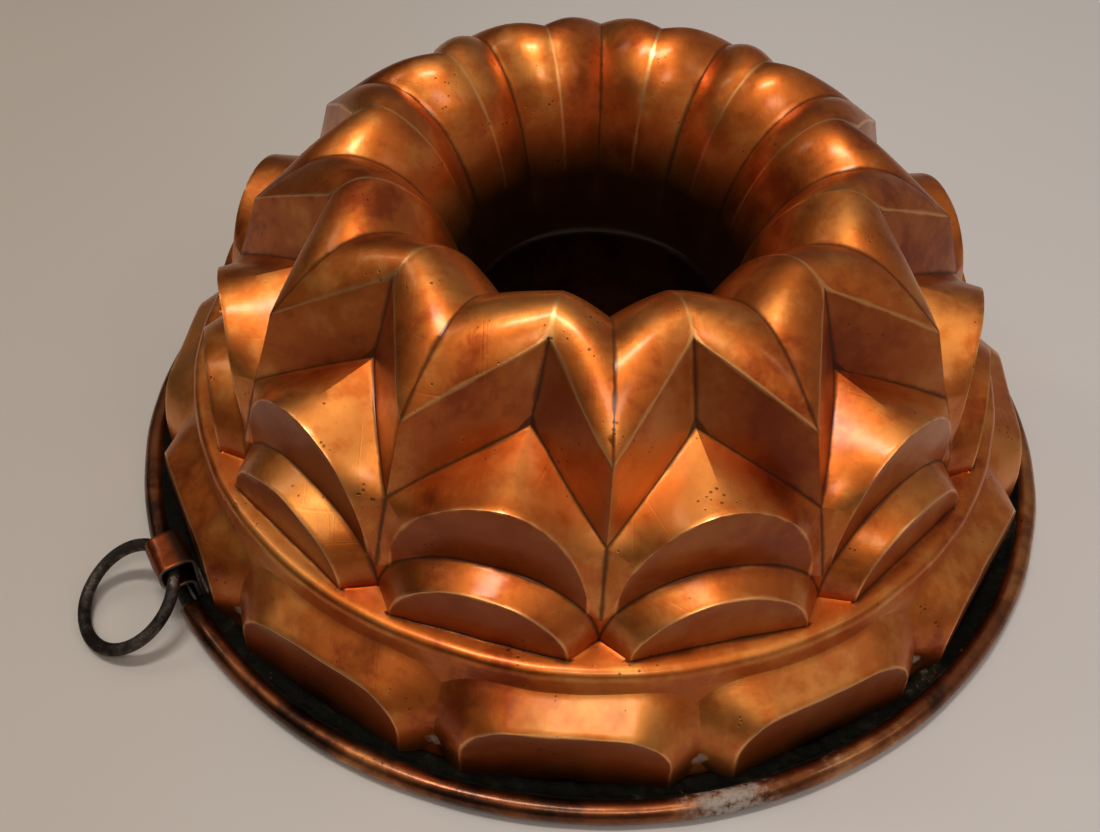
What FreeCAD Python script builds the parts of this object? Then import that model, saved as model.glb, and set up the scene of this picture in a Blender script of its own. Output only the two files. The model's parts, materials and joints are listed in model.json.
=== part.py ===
import FreeCAD, Part
import Sketcher
import math
import os

# Copper ring mould (Turk's head pattern), standing mouth down on its rolled rim.
# Millimetres. Origin: on the axis of the centre tube, at the level of the table.
# +Z up. Azimuth is counted from -Y towards +X; ridge lines stand at 15, 45, 75 ... degrees.

Vector = FreeCAD.Vector
doc = FreeCAD.newDocument("ring_mould")

SIZES = (
    ("gauge", 1.0, "thickness of the copper sheet"),
    ("ridges", 12, "ridges round the crown"),
    ("foot_level", 3.2, "top of the flange at the foot of the wall"),
    ("tube_radius", 31.0, "hole radius at the bottom of the pressed collar"),
    ("collar_end", 40.0, "height where the pressed collar meets the tube"),
    ("collar_straight", 8.0, "length of plain round collar above its end"),
    ("point_radius", 61.8, "radius of the sharp point that ends a ridge"),
    ("point_height", 85.4, "height of that point"),
    ("valley_radius", 82.2, "radius where a valley line leaves the crown"),
    ("valley_height", 72.0, "height where a valley line leaves the crown"),
    ("crease_radius", 68.8, "radius at the foot of the crease under a point"),
    ("crease_height", 67.4, "height at the foot of the crease under a point"),
    ("prow_radius", 88.0, "radius where the prow's facets end"),
    ("prow_height", 55.0, "height where the prow's facets end"),
    ("gusset_radius", 93.6, "radius at the foot of the gusset between two arches"),
    ("gusset_height", 38.6, "height at the foot of the gusset between two arches"),
    ("arch_face", 90.0, "distance of an arch face from the axis"),
    ("arch_half_width", 21.2, "half width of an arch face"),
    ("arch_spring", 39.0, "height where the arch starts to curve"),
    ("arch_top", 65.0, "height of the crown of an arch face"),
    ("scale_face", 96.9, "distance of a scale's face from the axis"),
    ("scale_half_width", 19.3, "half width of a scale's face"),
    ("scale_rise", 14.3, "height of a scale's face above the ledge"),
    ("scale_root", 90.4, "distance of a scale's root from the axis"),
    ("scale_root_half_width", 24.3, "half width at the root"),
    ("scale_root_rise", 16.1, "height of the root above the ledge"),
    ("scale_back", 84.0, "distance where the scale is buried in the arch"),
    ("ledge_radius", 102.0, "radius of the crest of the ledge"),
    ("ledge_height", 31.2, "height of the ledge"),
    ("skirt_radius", 102.6, "radius of the wall where it turns upright under the crest"),
    ("skirt_height", 24.5, "height where the wall turns upright"),
    ("foot_radius", 110.6, "radius of the wall at its foot"),
    ("panel_turn", -3.16, "azimuth of the first lower panel"),
    ("panel_face", 110.7, "distance of a panel's face at its foot"),
    ("panel_lean", 0.03, "inward lean of a panel's face per mm of height"),
    ("panel_half_width", 22.4, "half width of a panel's face"),
    ("panel_top", 20.4, "height of the top of a panel's face"),
    ("panel_corner_width", 10.5, "width of a rounded corner of a panel's face"),
    ("panel_corner_height", 10.5, "height of a rounded corner of a panel's face"),
    ("panel_root", 99.5, "distance where the panel is buried in the wall"),
    ("panel_root_half_width", 35.3, "half width at the root"),
    ("panel_root_top", 26.4, "height of the top at the root"),
    ("panel_root_corner_width", 23.2, "width of a rounded corner at the root"),
    ("panel_root_corner_height", 19.0, "height of a rounded corner at the root"),
    ("flange_radius", 113.6, "outer radius of the flange at the foot"),
    ("bead_radius", 2.7, "outside radius of the rolled bead"),
    ("bead_bore", 1.8, "inside radius of the rolled bead"),
    ("bead_circle", 117.3, "radius of the bead's centre line"),
    ("wire_radius", 1.5, "radius of the iron wire in the bead"),
    ("bead_gap_centre", -58.3, "azimuth of the gap in the bead"),
    ("bead_gap_angle", 8.0, "angle left open for the hanger"),
    ("band_root", 110.0, "inner radius of the band's flat leaf"),
    ("tube_foot_radius", 28.0, "hole radius at the bottom of the tube"),
    ("tube_foot_height", 4.0, "height of the bottom edge of the tube"),
    ("tube_outer", 32.0, "outside radius of the collar at its end"),
    ("hanger_azimuth", -57.5, "azimuth of the hanger"),
    ("strap_width", 10.5, "width of the hanger strap"),
    ("strap_gauge", 0.9, "thickness of the hanger strap"),
    ("strap_bore", 3.2, "inside radius of the strap's bend"),
    ("pivot_radius", 117.6, "distance of the ring's pivot from the axis"),
    ("pivot_height", 13.9, "height of the ring's pivot"),
    ("strap_leg", 113.05, "distance of the strap's inner leg from the axis"),
    ("strap_bend", 2.2, "middle radius of the strap's lower bends"),
    ("pad_depth", 0.5, "depth of the solder pad behind the strap"),
    ("ring_radius", 12.8, "radius of the ring's centre line"),
    ("ring_wire", 1.6, "radius of the ring's wire"),
)

sheet = doc.addObject("Spreadsheet::Sheet", "Sizes")
for row, (alias, value, note) in enumerate(SIZES, start=1):
    sheet.set("A%d" % row, alias)
    sheet.set("B%d" % row, str(value))
    sheet.set("C%d" % row, note)
    sheet.setAlias("B%d" % row, alias)
doc.recompute()


def size(alias):
    """One driving dimension, read from the sheet."""
    return float(sheet.get(alias))


STEP = 360.0 / size("ridges")
HALF = STEP / 2.0


def polar(radius, azimuth, height):
    """The point at a radius, an azimuth in degrees and a height."""
    turn = math.radians(azimuth)
    return Vector(radius * math.sin(turn), -radius * math.cos(turn), height)


def facing(azimuth):
    """Placement that turns local X to the outward direction at an azimuth."""
    return FreeCAD.Placement(Vector(0, 0, 0), FreeCAD.Rotation(Vector(0, 0, 1), azimuth - 90.0))


# The crown: a ridge line and a valley line, each from the bottom of the tube over the
# lip to its end, as (radius, height) control points. The strips between them swell.
def ridge_line(bottom):
    """Control points of a ridge line, from the tube up to its sharp point."""
    tube = size("tube_radius")
    end = size("collar_end")
    return [
        (tube, bottom),
        (tube, end),
        (tube, end + size("collar_straight")),
        (33.4, 60.0),
        (35.8, 69.5),
        (41.0, 79.5),
        (47.5, 86.0),
        (54.0, 89.6),
        (58.5, 88.3),
        (size("point_radius"), size("point_height")),
    ]


def valley_line(bottom):
    """Control points of a valley line, from the tube down the shoulder to its end."""
    tube = size("tube_radius")
    end = size("collar_end")
    return [
        (tube, bottom),
        (tube, end),
        (tube, end + size("collar_straight")),
        (35.6, 57.0),
        (38.5, 67.5),
        (44.5, 77.5),
        (53.0, 83.8),
        (63.0, 86.0),
        (73.0, 80.0),
        (size("valley_radius"), size("valley_height")),
    ]


ARC_SPLIT = 0.62
CREASE_BOW = 1.6
SWELL = (None, None, None, 0.3, 0.6, 0.8, 1.1, 1.8, 2.0, 0.8)


def normal_2d(points, index):
    """Unit normal, out of the form, of a (radius, height) line at one of its points."""
    before = points[max(index - 1, 0)]
    after = points[min(index + 1, len(points) - 1)]
    along_r = after[0] - before[0]
    along_z = after[1] - before[1]
    length = math.hypot(along_r, along_z)
    return (-along_z / length, along_r / length)


def shrink_line(points, inset):
    """The line moved into the form by the inset."""
    moved = []
    for index, (radius, height) in enumerate(points):
        out_r, out_z = normal_2d(points, index)
        moved.append((radius - inset * out_r, height - inset * out_z))
    moved[0] = (moved[0][0], points[0][1])
    return moved


def face_arc(inset, side):
    """Half of an arch's face outline, facing local X: upper part and lower part."""
    distance = size("arch_face") - inset
    half_width = side * (size("arch_half_width") - 1.2 * inset)
    top = size("arch_top") - 1.2 * inset
    spring = size("arch_spring")
    pieces = []
    for first, last in ((0.0, ARC_SPLIT), (ARC_SPLIT, 1.0)):
        arc = Part.BezierCurve()
        arc.setPoles([Vector(distance, 0, top), Vector(distance, half_width, top),
                      Vector(distance, half_width, spring)])
        arc.setWeight(2, math.sqrt(0.5))
        arc.segment(first, last)
        pieces.append(arc.toShape())
    return pieces


def line(start, end):
    """A straight edge."""
    return Part.makeLine(start, end)


def crown_core(inset, bottom):
    """Star-shaped body: crown strips, notches, arches with flat faces, flat bottom."""
    ridge = shrink_line(ridge_line(bottom), inset)
    valley = shrink_line(valley_line(bottom), inset)
    ridge[-1] = (ridge[-1][0] - 0.9 * inset, ridge[-1][1] - 0.5 * inset)
    valley[-1] = (valley[-1][0] - 1.2 * inset, valley[-1][1] - 0.2 * inset)
    crease = (size("crease_radius") - 0.9 * inset, size("crease_height") - 1.0 * inset)
    prow = (size("prow_radius") - 1.5 * inset, size("prow_height") - 0.3 * inset)
    gusset = (size("gusset_radius") - 1.2 * inset, size("gusset_height") - 0.6 * inset)
    round_pole = 1.0 / math.cos(math.radians(HALF / 2.0))
    knots = [float(k) for k in range(len(ridge) - 2)]
    mults = [4] + [1] * (len(knots) - 2) + [4]
    faces = []
    foot_points = []
    tube_edges = []
    for turn in range(int(size("ridges"))):
        middle = HALF + turn * STEP
        front = []
        crease_point = polar(crease[0], middle, crease[1])
        for side in (-1.0, 1.0):
            edge_azimuth = middle + side * HALF
            between = middle + side * HALF / 2
            columns = [[], [], []]
            for index in range(len(ridge)):
                ridge_point = polar(ridge[index][0], middle, ridge[index][1])
                valley_point = polar(valley[index][0], edge_azimuth, valley[index][1])
                if SWELL[index] is None:
                    centre = polar(ridge[index][0] * round_pole, between, ridge[index][1])
                else:
                    out_ridge = normal_2d(ridge, index)
                    out_valley = normal_2d(valley, index)
                    out = polar((out_ridge[0] + out_valley[0]) / 2, between,
                                (out_ridge[1] + out_valley[1]) / 2)
                    centre = (ridge_point + valley_point) / 2 + out * SWELL[index]
                columns[0].append(ridge_point)
                columns[1].append(centre)
                columns[2].append(valley_point)
            strip = Part.BSplineSurface()
            strip.buildFromPolesMultsKnots(columns, [3, 3], mults, [0.0, 1.0], knots,
                                           False, False, 2, 3)
            faces.append(strip.toShape())
            tube_arc = Part.BezierCurve()
            tube_arc.setPoles([column[0] for column in columns])
            tube_edges.append(tube_arc.toShape())

            zigzag = Part.BezierCurve()
            zigzag.setPoles([column[-1] for column in columns])
            prow_point = polar(prow[0], edge_azimuth, prow[1])
            gusset_point = polar(gusset[0], edge_azimuth, gusset[1])
            bow = (crease_point + prow_point) / 2 + polar(CREASE_BOW, middle, CREASE_BOW)
            crease_edge = Part.BezierCurve()
            crease_edge.setPoles([crease_point, bow, prow_point])
            faces.append(Part.makeRuledSurface(zigzag.toShape(), crease_edge.toShape()))

            upper, lower = face_arc(inset, side)
            upper = upper.transformGeometry(facing(middle).toMatrix())
            lower = lower.transformGeometry(facing(middle).toMatrix())
            faces.append(Part.makeRuledSurface(crease_edge.toShape(), upper))
            faces.append(Part.makeRuledSurface(line(prow_point, gusset_point), lower))

            shoulder = facing(middle).multVec(
                Vector(size("arch_face") - inset,
                       side * (size("arch_half_width") - 1.2 * inset), size("arch_spring")))
            shoulder_foot = Vector(shoulder.x, shoulder.y, bottom)
            gusset_foot = Vector(gusset_point.x, gusset_point.y, bottom)
            faces.append(Part.makeRuledSurface(line(shoulder, gusset_point),
                                               line(shoulder_foot, gusset_foot)))
            front.extend([upper, lower, line(shoulder, shoulder_foot)])
            foot_points.append((edge_azimuth if side < 0 else None, gusset_foot, shoulder_foot))
        front.append(line(foot_points[-2][2], foot_points[-1][2]))
        faces.append(Part.Face(Part.Wire(Part.__sortEdges__(front))))
    outer = []
    for azimuth, gusset_foot, shoulder_foot in foot_points:
        outer.extend([gusset_foot, shoulder_foot] if azimuth is not None else [shoulder_foot])
    outer.append(outer[0])
    hole = Part.Wire(Part.__sortEdges__(tube_edges))
    faces.extend(Part.makeFace([Part.makePolygon(outer), hole], "Part::FaceMakerBullseye").Faces)
    sewn = Part.makeShell(faces)
    sewn.sewShape(0.01)
    return Part.makeSolid(sewn)


def outline(distance, lean, floor, half_width, corner_width, corner_height, top):
    """Closed outline facing local X: flat foot, upright sides, elliptic corners, flat top."""

    def spot(across, height):
        return Vector(distance - lean * (height - floor), across, height)

    spring = top - corner_height
    flat = half_width - corner_width
    edges = [Part.makeLine(spot(-half_width, floor), spot(half_width, floor))]
    if spring > floor:
        edges.append(Part.makeLine(spot(half_width, floor), spot(half_width, spring)))
    for first, middle, last in (
        ((half_width, spring), (half_width, top), (flat, top)),
        ((-flat, top), (-half_width, top), (-half_width, spring)),
    ):
        if last[0] < 0 and flat > 0:
            edges.append(Part.makeLine(spot(flat, top), spot(-flat, top)))
        corner = Part.BezierCurve()
        corner.setPoles([spot(*first), spot(*middle), spot(*last)])
        corner.setWeight(2, math.sqrt(0.5))
        edges.append(corner.toShape())
    if spring > floor:
        edges.append(Part.makeLine(spot(-half_width, spring), spot(-half_width, floor)))
    return Part.Wire(edges)


def scale(inset):
    """One scale, facing local X: a half lens standing on the ledge, buried in its arch."""
    run = size("scale_face") - size("scale_root")
    widen = (size("scale_root_half_width") - size("scale_half_width")) / run
    lift = (size("scale_root_rise") - size("scale_rise")) / run
    floor = size("ledge_height") - 2.0
    wires = []
    for distance in (size("scale_face") - inset, size("scale_back")):
        inward = size("scale_face") - distance
        half_width = size("scale_half_width") + widen * inward - 2.0 * inset
        top = size("ledge_height") + size("scale_rise") + lift * inward - 1.2 * inset
        corner = top - size("ledge_height")
        wires.append(outline(distance, 0.0, floor, half_width, half_width, corner, top))
    return Part.makeLoft(wires, True, True)


def panel(inset):
    """One lower panel, facing local X: a rounded block on the wall, its face leaning in."""
    floor = size("foot_level")
    face = outline(size("panel_face") - inset, size("panel_lean"), floor,
                   size("panel_half_width") - inset, size("panel_corner_width"),
                   size("panel_corner_height"), size("panel_top") - inset)
    root = outline(size("panel_root") - inset, 0.0, floor,
                   size("panel_root_half_width") - inset, size("panel_root_corner_width"),
                   size("panel_root_corner_height"), size("panel_root_top") - inset)
    return Part.makeLoft([face, root], True, True)


def revolved(points):
    """Solid of revolution about Z from a closed (radius, height) outline."""
    corners = [Vector(radius, 0, height) for radius, height in points]
    corners.append(corners[0])
    return Part.Face(Part.makePolygon(corners)).revolve(Vector(0, 0, 0), Vector(0, 0, 1), 360)


def skirt(inset, bottom):
    """Plain conical wall under the ledge, as a solid ring."""
    inner = size("crease_radius") - 10.0
    top = size("ledge_height") - inset
    return revolved([
        (inner, bottom),
        (size("foot_radius") - inset, bottom),
        (size("foot_radius") - inset, size("foot_level")),
        (size("skirt_radius") - inset, size("skirt_height")),
        (size("ledge_radius") - inset, top),
        (inner, top),
    ])


def pressed_form(inset, bottom):
    """Everything within the pressed skin, moved inward by the inset."""
    pieces = [skirt(inset, bottom)]
    for turn in range(int(size("ridges"))):
        middle = HALF + turn * STEP
        for piece, azimuth in (
            (scale(inset), middle),
            (panel(inset), turn * STEP + size("panel_turn")),
        ):
            piece.Placement = facing(azimuth)
            pieces.append(piece)
    core = crown_core(inset, bottom)
    return core.multiFuse(pieces)


def pressed_shell():
    """The pressed sheet: form less its inset copy, open below, with a flange at the foot."""
    gauge = size("gauge")
    level = size("foot_level")
    outer = pressed_form(0.0, level - gauge)
    inner = pressed_form(gauge, level - 2 * gauge)
    below = Part.makeCylinder(size("tube_radius") + 3 * gauge, size("collar_end"))
    flange = revolved([
        (size("foot_radius") - gauge, level - gauge),
        (size("flange_radius"), level - gauge),
        (size("flange_radius"), level),
        (size("foot_radius") - gauge, level),
    ])
    return outer.cut(inner).cut(below).fuse(flange)


def add_shape(name, label, shape, placement=None):
    """A sub-part whose shape is made in code."""
    node = doc.addObject("Part::Feature", name)
    node.Label = label
    node.Shape = shape
    node.Placement = placement or FreeCAD.Placement()
    return node


def strap_spot(across, height):
    """Point on the strap's edge plane, which faces local X at half the strap's width."""
    return Vector(across, -size("strap_width") / 2.0, height)


def bend(across, height, radius, start, end):
    """Arc on the strap's edge plane between two angles in degrees, counted from +X to +Z."""
    spots = []
    for angle in (start, (start + end) / 2.0, end):
        turn = math.radians(angle)
        spots.append(strap_spot(across + radius * math.cos(turn), height + radius * math.sin(turn)))
    return Part.Arc(*spots).toShape()


def strap():
    """Folded strap, facing local X: two legs in the groove and a bend round the ring's wire."""
    gauge = size("strap_gauge")
    corner = size("strap_bend")
    loop = size("strap_bore") + gauge / 2.0
    pivot_x = size("pivot_radius")
    pivot_z = size("pivot_height")
    inner_x = size("strap_leg")
    outer_x = inner_x + gauge + 0.05
    foot = size("foot_level") + gauge / 2.0
    top = pivot_z + loop
    under = pivot_z - loop
    middle_line = Part.Wire([
        line(strap_spot(inner_x, foot), strap_spot(inner_x, top - corner)),
        bend(inner_x + corner, top - corner, corner, 180, 90),
        line(strap_spot(inner_x + corner, top), strap_spot(pivot_x, top)),
        bend(pivot_x, pivot_z, loop, 90, -90),
        line(strap_spot(pivot_x, under), strap_spot(outer_x + corner, under)),
        bend(outer_x + corner, under - corner, corner, 90, 180),
        line(strap_spot(outer_x, under - corner), strap_spot(outer_x, foot)),
    ])
    outside = middle_line.makeOffset2D(gauge / 2.0, 0, False, False, False)
    return Part.Face(outside).extrude(Vector(0, size("strap_width"), 0))


def cut_of(name, label, base, tool):
    """A Part::Cut of two objects, named and labelled."""
    node = doc.addObject("Part::Cut", name)
    node.Label = label
    node.Base = base
    node.Tool = tool
    return node


def primitive(kind, name, **bindings):
    """A Part primitive whose sizes are expressions on the sheet."""
    node = doc.addObject(kind, name)
    for attribute, expression in bindings.items():
        node.setExpression(attribute, expression)
    return node


def revolution(name, label, corners, angle_expression="360"):
    """A PartDesign revolution about Z.

    Each corner of its outline is two pairs, one for the distance from the axis and one for the
    height: a size from the sheet and what is added to it.
    """
    body = doc.addObject("PartDesign::Body", name)
    body.Label = label
    plane = next(item for item in body.Origin.OriginFeatures if item.Role == "XZ_Plane")
    sketch = body.newObject("Sketcher::SketchObject", name + "_outline")
    sketch.AttachmentSupport = (plane, [""])
    sketch.MapMode = "FlatFace"
    spots = [[size(alias) + extra for alias, extra in corner] for corner in corners]
    for first, last in zip(spots, spots[1:] + spots[:1]):
        sketch.addGeometry(Part.LineSegment(Vector(*first, 0), Vector(*last, 0)))
    for index, corner in enumerate(corners):
        following = (index + 1) % len(corners)
        sketch.addConstraint(Sketcher.Constraint("Coincident", index, 2, following, 1))
        for kind, value, (alias, extra) in zip(("DistanceX", "DistanceY"), spots[index], corner):
            number = sketch.addConstraint(Sketcher.Constraint(kind, -1, 1, index, 1, value))
            sketch.setExpression("Constraints[%d]" % number, "Sizes.%s + %g" % (alias, extra))
    turned = body.newObject("PartDesign::Revolution", name + "_turned")
    turned.Profile = sketch
    turned.ReferenceAxis = (sketch, ["V_Axis"])
    turned.setExpression("Angle", angle_expression)
    body.Tip = turned
    return body


def place(node, azimuth=0.0, shift=(0.0, 0.0, 0.0)):
    """Give a node its place in the shared frame."""
    node.Placement = FreeCAD.Placement(Vector(*shift), FreeCAD.Rotation(Vector(0, 0, 1), azimuth))


gap_start = size("bead_gap_centre") + size("bead_gap_angle") / 2.0 - 90.0
gap_sweep = "360 - Sizes.bead_gap_angle"

# Pressed shell: crown, notches, arches, scales, ledge and lower panels in one sheet.
shell = add_shape("body_shell", "body_shell", pressed_shell())

# Centre tube below the pressed collar.
tube_outside = primitive("Part::Cone", "tube_outside", Radius1="Sizes.tube_foot_radius + Sizes.gauge",
                         Radius2="Sizes.tube_radius + Sizes.gauge",
                         Height="Sizes.collar_end - Sizes.tube_foot_height")
tube_inside = primitive("Part::Cone", "tube_inside", Radius1="Sizes.tube_foot_radius",
                        Radius2="Sizes.tube_radius",
                        Height="Sizes.collar_end - Sizes.tube_foot_height")
centre_tube = cut_of("centre_tube", "centre_tube", tube_outside, tube_inside)
place(centre_tube, shift=(0.0, 0.0, size("tube_foot_height")))

# Solder seam between collar and tube, on the side of the batter.
tube_seam = revolution("tube_seam", "tube_seam", [
    (("tube_outer", 0.1), ("collar_end", -2.4)),
    (("tube_outer", 1.3), ("collar_end", -0.8)),
    (("tube_outer", 1.3), ("collar_end", 0.8)),
    (("tube_outer", 0.5), ("collar_end", 2.4)),
])

# Rim band: a bead rolled round the wire, with a flat leaf under the shell's flange.
bead_outside = primitive("Part::Torus", "bead_outside", Radius1="Sizes.bead_circle",
                         Radius2="Sizes.bead_radius", Angle3=gap_sweep)
bead_inside = primitive("Part::Torus", "bead_inside", Radius1="Sizes.bead_circle",
                        Radius2="Sizes.bead_bore")
for node in (bead_outside, bead_inside):
    place(node, shift=(0.0, 0.0, size("bead_radius")))
leaf_outside = primitive("Part::Cylinder", "leaf_outside",
                         Radius="Sizes.bead_circle - Sizes.bead_radius + 0.7",
                         Height="Sizes.gauge", Angle=gap_sweep)
leaf_inside = primitive("Part::Cylinder", "leaf_inside", Radius="Sizes.band_root", Height="Sizes.gauge")
leaf_level = size("foot_level") - 2 * size("gauge")
for node in (leaf_outside, leaf_inside):
    place(node, shift=(0.0, 0.0, leaf_level))
bead = cut_of("bead", "bead", bead_outside, bead_inside)
leaf = cut_of("leaf", "leaf", leaf_outside, leaf_inside)
rim_band = doc.addObject("Part::Fuse", "rim_band")
rim_band.Label = "rim_band"
rim_band.Base = bead
rim_band.Tool = leaf
place(rim_band, azimuth=gap_start)

# Iron wire inside the bead.
rim_wire = primitive("Part::Torus", "rim_wire", Radius1="Sizes.bead_circle",
                     Radius2="Sizes.wire_radius")
rim_wire.Label = "rim_wire"
place(rim_wire, shift=(0.0, 0.0, size("bead_radius")))

# Solder run in the groove between wall and bead.
rim_solder = revolution("rim_solder", "rim_solder", [
    (("flange_radius", -0.5), ("foot_level", 0.0)),
    (("flange_radius", 0.3), ("foot_level", 0.0)),
    (("flange_radius", 0.3), ("foot_level", -1.0)),
    (("flange_radius", 0.7), ("foot_level", -1.0)),
    (("flange_radius", 0.8), ("foot_level", 0.2)),
    (("flange_radius", 0.1), ("foot_level", 1.3)),
    (("flange_radius", -0.4), ("foot_level", 0.8)),
], gap_sweep)
place(rim_solder, azimuth=gap_start)

# Hanger strap, the solder that holds it, and the iron ring.
hanger = facing(size("hanger_azimuth"))
hanger_strap = add_shape("hanger_strap", "hanger_strap", strap(), hanger)

pad = primitive("Part::Box", "pad_block", Length="Sizes.pad_depth",
                Width="Sizes.strap_width + 1.6", Height="2.2")
hanger_solder = doc.addObject("Part::Chamfer", "hanger_solder")
hanger_solder.Label = "hanger_solder"
hanger_solder.Base = pad
doc.recompute()
slope = []
for number, edge in enumerate(pad.Shape.Edges, start=1):
    spots = [vertex.Point for vertex in edge.Vertexes]
    if all(abs(spot.z - 2.2) < 1e-6 and abs(spot.x) < 1e-6 for spot in spots):
        slope.append((number, 0.4, 0.4))
hanger_solder.Edges = slope
pad_shift = Vector(size("strap_leg") - size("strap_gauge") / 2.0 - size("pad_depth") - 0.05,
                   -size("strap_width") / 2.0 - 0.8, size("foot_level"))
hanger_solder.Placement = hanger.multiply(FreeCAD.Placement(pad_shift, FreeCAD.Rotation()))

drop = size("pivot_height") - size("ring_wire") - 0.05
ring_tilt = math.degrees(math.asin(drop / (2.0 * size("ring_radius"))))
hanger_ring = primitive("Part::Torus", "hanger_ring", Radius1="Sizes.ring_radius",
                        Radius2="Sizes.ring_wire")
hanger_ring.Label = "hanger_ring"
lean = FreeCAD.Placement(Vector(size("pivot_radius"), 0, size("pivot_height")),
                         FreeCAD.Rotation(Vector(0, 1, 0), ring_tilt))
reach = FreeCAD.Placement(Vector(size("ring_radius"), 0, 0), FreeCAD.Rotation())
hanger_ring.Placement = hanger.multiply(lean).multiply(reach)

doc.recompute()

NODES = (shell, centre_tube, tube_seam, rim_band, rim_wire, rim_solder,
         hanger_strap, hanger_solder, hanger_ring)

for item in doc.Objects:
    if "Invalid" in item.State or "Error" in item.State:
        raise RuntimeError("%s did not build: %s" % (item.Label, item.State))

os.makedirs("parts", exist_ok=True)
for node in NODES:
    if node.Shape.isNull() or not node.Shape.isValid():
        raise RuntimeError("%s has no valid shape" % node.Label)
    node.Shape.exportStep("parts/%s.step" % node.Label)
    box = node.Shape.BoundBox
    print("%-14s solids %d volume %.1f z %.2f to %.2f" % (
        node.Label, len(node.Shape.Solids), node.Shape.Volume, box.ZMin, box.ZMax))
print("ring tilt %.2f" % ring_tilt)
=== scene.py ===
"""Scene of a copper ring mould that stands mouth down on its rolled rim.

The pressed skin is built from grids of points worked out with numpy, one grid for each facet
of the pattern, and welded into one sheet. Lengths in this file are millimetres unless a name
ends in _m. Azimuth is counted from -Y towards +X.
"""

import json
import logging
import math
from collections.abc import Sequence
from dataclasses import dataclass, field
from enum import Enum

import bmesh
import bpy
import numpy as np
from mathutils import Matrix, Vector

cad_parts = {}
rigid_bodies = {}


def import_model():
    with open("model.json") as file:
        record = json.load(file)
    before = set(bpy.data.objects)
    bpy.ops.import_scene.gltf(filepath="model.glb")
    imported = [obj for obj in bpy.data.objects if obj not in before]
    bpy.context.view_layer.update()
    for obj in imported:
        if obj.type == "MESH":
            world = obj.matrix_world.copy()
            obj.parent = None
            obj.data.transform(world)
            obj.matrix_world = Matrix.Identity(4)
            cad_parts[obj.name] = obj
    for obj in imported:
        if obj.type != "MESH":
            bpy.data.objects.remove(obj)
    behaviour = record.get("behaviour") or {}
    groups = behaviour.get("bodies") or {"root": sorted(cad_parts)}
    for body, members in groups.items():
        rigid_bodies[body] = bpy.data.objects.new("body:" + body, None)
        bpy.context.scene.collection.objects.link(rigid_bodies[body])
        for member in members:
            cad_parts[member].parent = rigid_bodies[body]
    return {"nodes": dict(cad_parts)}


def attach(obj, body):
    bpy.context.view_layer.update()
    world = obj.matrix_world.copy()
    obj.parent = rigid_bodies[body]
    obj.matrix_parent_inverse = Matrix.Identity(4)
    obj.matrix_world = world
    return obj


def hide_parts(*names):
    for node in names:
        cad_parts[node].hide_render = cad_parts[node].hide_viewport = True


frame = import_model()

LOG = logging.getLogger("ring_mould")
Array = np.ndarray
Colour = tuple[float, float, float, float]
MM = 0.001
RIDGES = 12
STEP = 360.0 / RIDGES
HALF = STEP / 2.0


class Slot(Enum):
    """Material slots of the record."""

    COPPER = "copper"
    IRON = "iron"
    SOLDER = "solder"


class Body(Enum):
    """Rigid bodies of the record."""

    MOULD = "mould"
    RING = "ring"


# ---------------------------------------------------------------- surfaces


def polar(radius: Array | float, azimuth: Array | float, height: Array | float) -> Array:
    """Points at a radius, an azimuth in degrees and a height: (r sin a, -r cos a, z).

    Returns:
        Array of points, one row of three numbers each.
    """
    turn = np.radians(azimuth)
    parts = np.broadcast_arrays(radius * np.sin(turn), -radius * np.cos(turn), height)
    return np.stack(parts, axis=-1).astype(float)


def local(out: Array | float, across: Array | float, up: Array | float) -> Array:
    """Points in a sector's own frame: outward, across it towards larger azimuth, and up."""
    return np.stack(np.broadcast_arrays(out, across, up), axis=-1).astype(float)


def turned(points: Array, azimuth: float) -> Array:
    """Points of a sector's frame turned to an azimuth: out (sin a, -cos a) + across (cos a, sin a)."""
    turn = math.radians(azimuth)
    out, across, up = points[..., 0], points[..., 1], points[..., 2]
    east = out * math.sin(turn) + across * math.cos(turn)
    north = -out * math.cos(turn) + across * math.sin(turn)
    return np.stack([east, north, up], axis=-1)


def mirrored(points: Array) -> Array:
    """Points of a sector's frame reflected to the other side of its ridge."""
    return points * np.array([1.0, -1.0, 1.0])


def ruled(first: Array, second: Array, shares: Array) -> Array:
    """Surface of straight lines between two curves: first + share (second - first).

    Args:
        first: curve of n points.
        second: curve of n points.
        shares: how far along the lines each row lies, from 0 to 1.

    Returns:
        Grid of len(shares) by n points.
    """
    return first[None] + shares[:, None, None] * (second - first)[None]


def conic(start: Array, middle: Array, end: Array, share: Array, weight: float = 1.0) -> Array:
    """Rational quadratic Bezier curve; a weight of the root of a half gives a quarter ellipse."""
    along = share[:, None]
    first, second, third = (1 - along) ** 2, 2 * weight * along * (1 - along), along**2
    return (first * start + second * middle + third * end) / (first + second + third)


def smooth_basis(count: int, share: Array) -> Array:
    """Clamped uniform cubic B-spline weights, by the Cox-de Boor recurrence.

    Args:
        count: number of control points.
        share: parameters from 0 to 1.

    Returns:
        Matrix of len(share) by count weights.
    """
    degree = 3
    last = count - degree
    knots = np.concatenate([np.zeros(degree), np.arange(last + 1), np.full(degree, last)])
    place = np.clip(share * last, 0.0, last - 1e-9)[:, None]
    weights = ((knots[:-1] <= place) & (place < knots[1:])).astype(float)
    for level in range(1, degree + 1):
        size = count + degree - level
        low, high = knots[:size], knots[level : level + size]
        rise = np.where(high > low, (place - low) / np.where(high > low, high - low, 1.0), 0.0)
        low, high = knots[1 : size + 1], knots[level + 1 : level + 1 + size]
        fall = np.where(high > low, (high - place) / np.where(high > low, high - low, 1.0), 0.0)
        weights = rise * weights[:, :size] + fall * weights[:, 1 : size + 1]
    return weights


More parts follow.
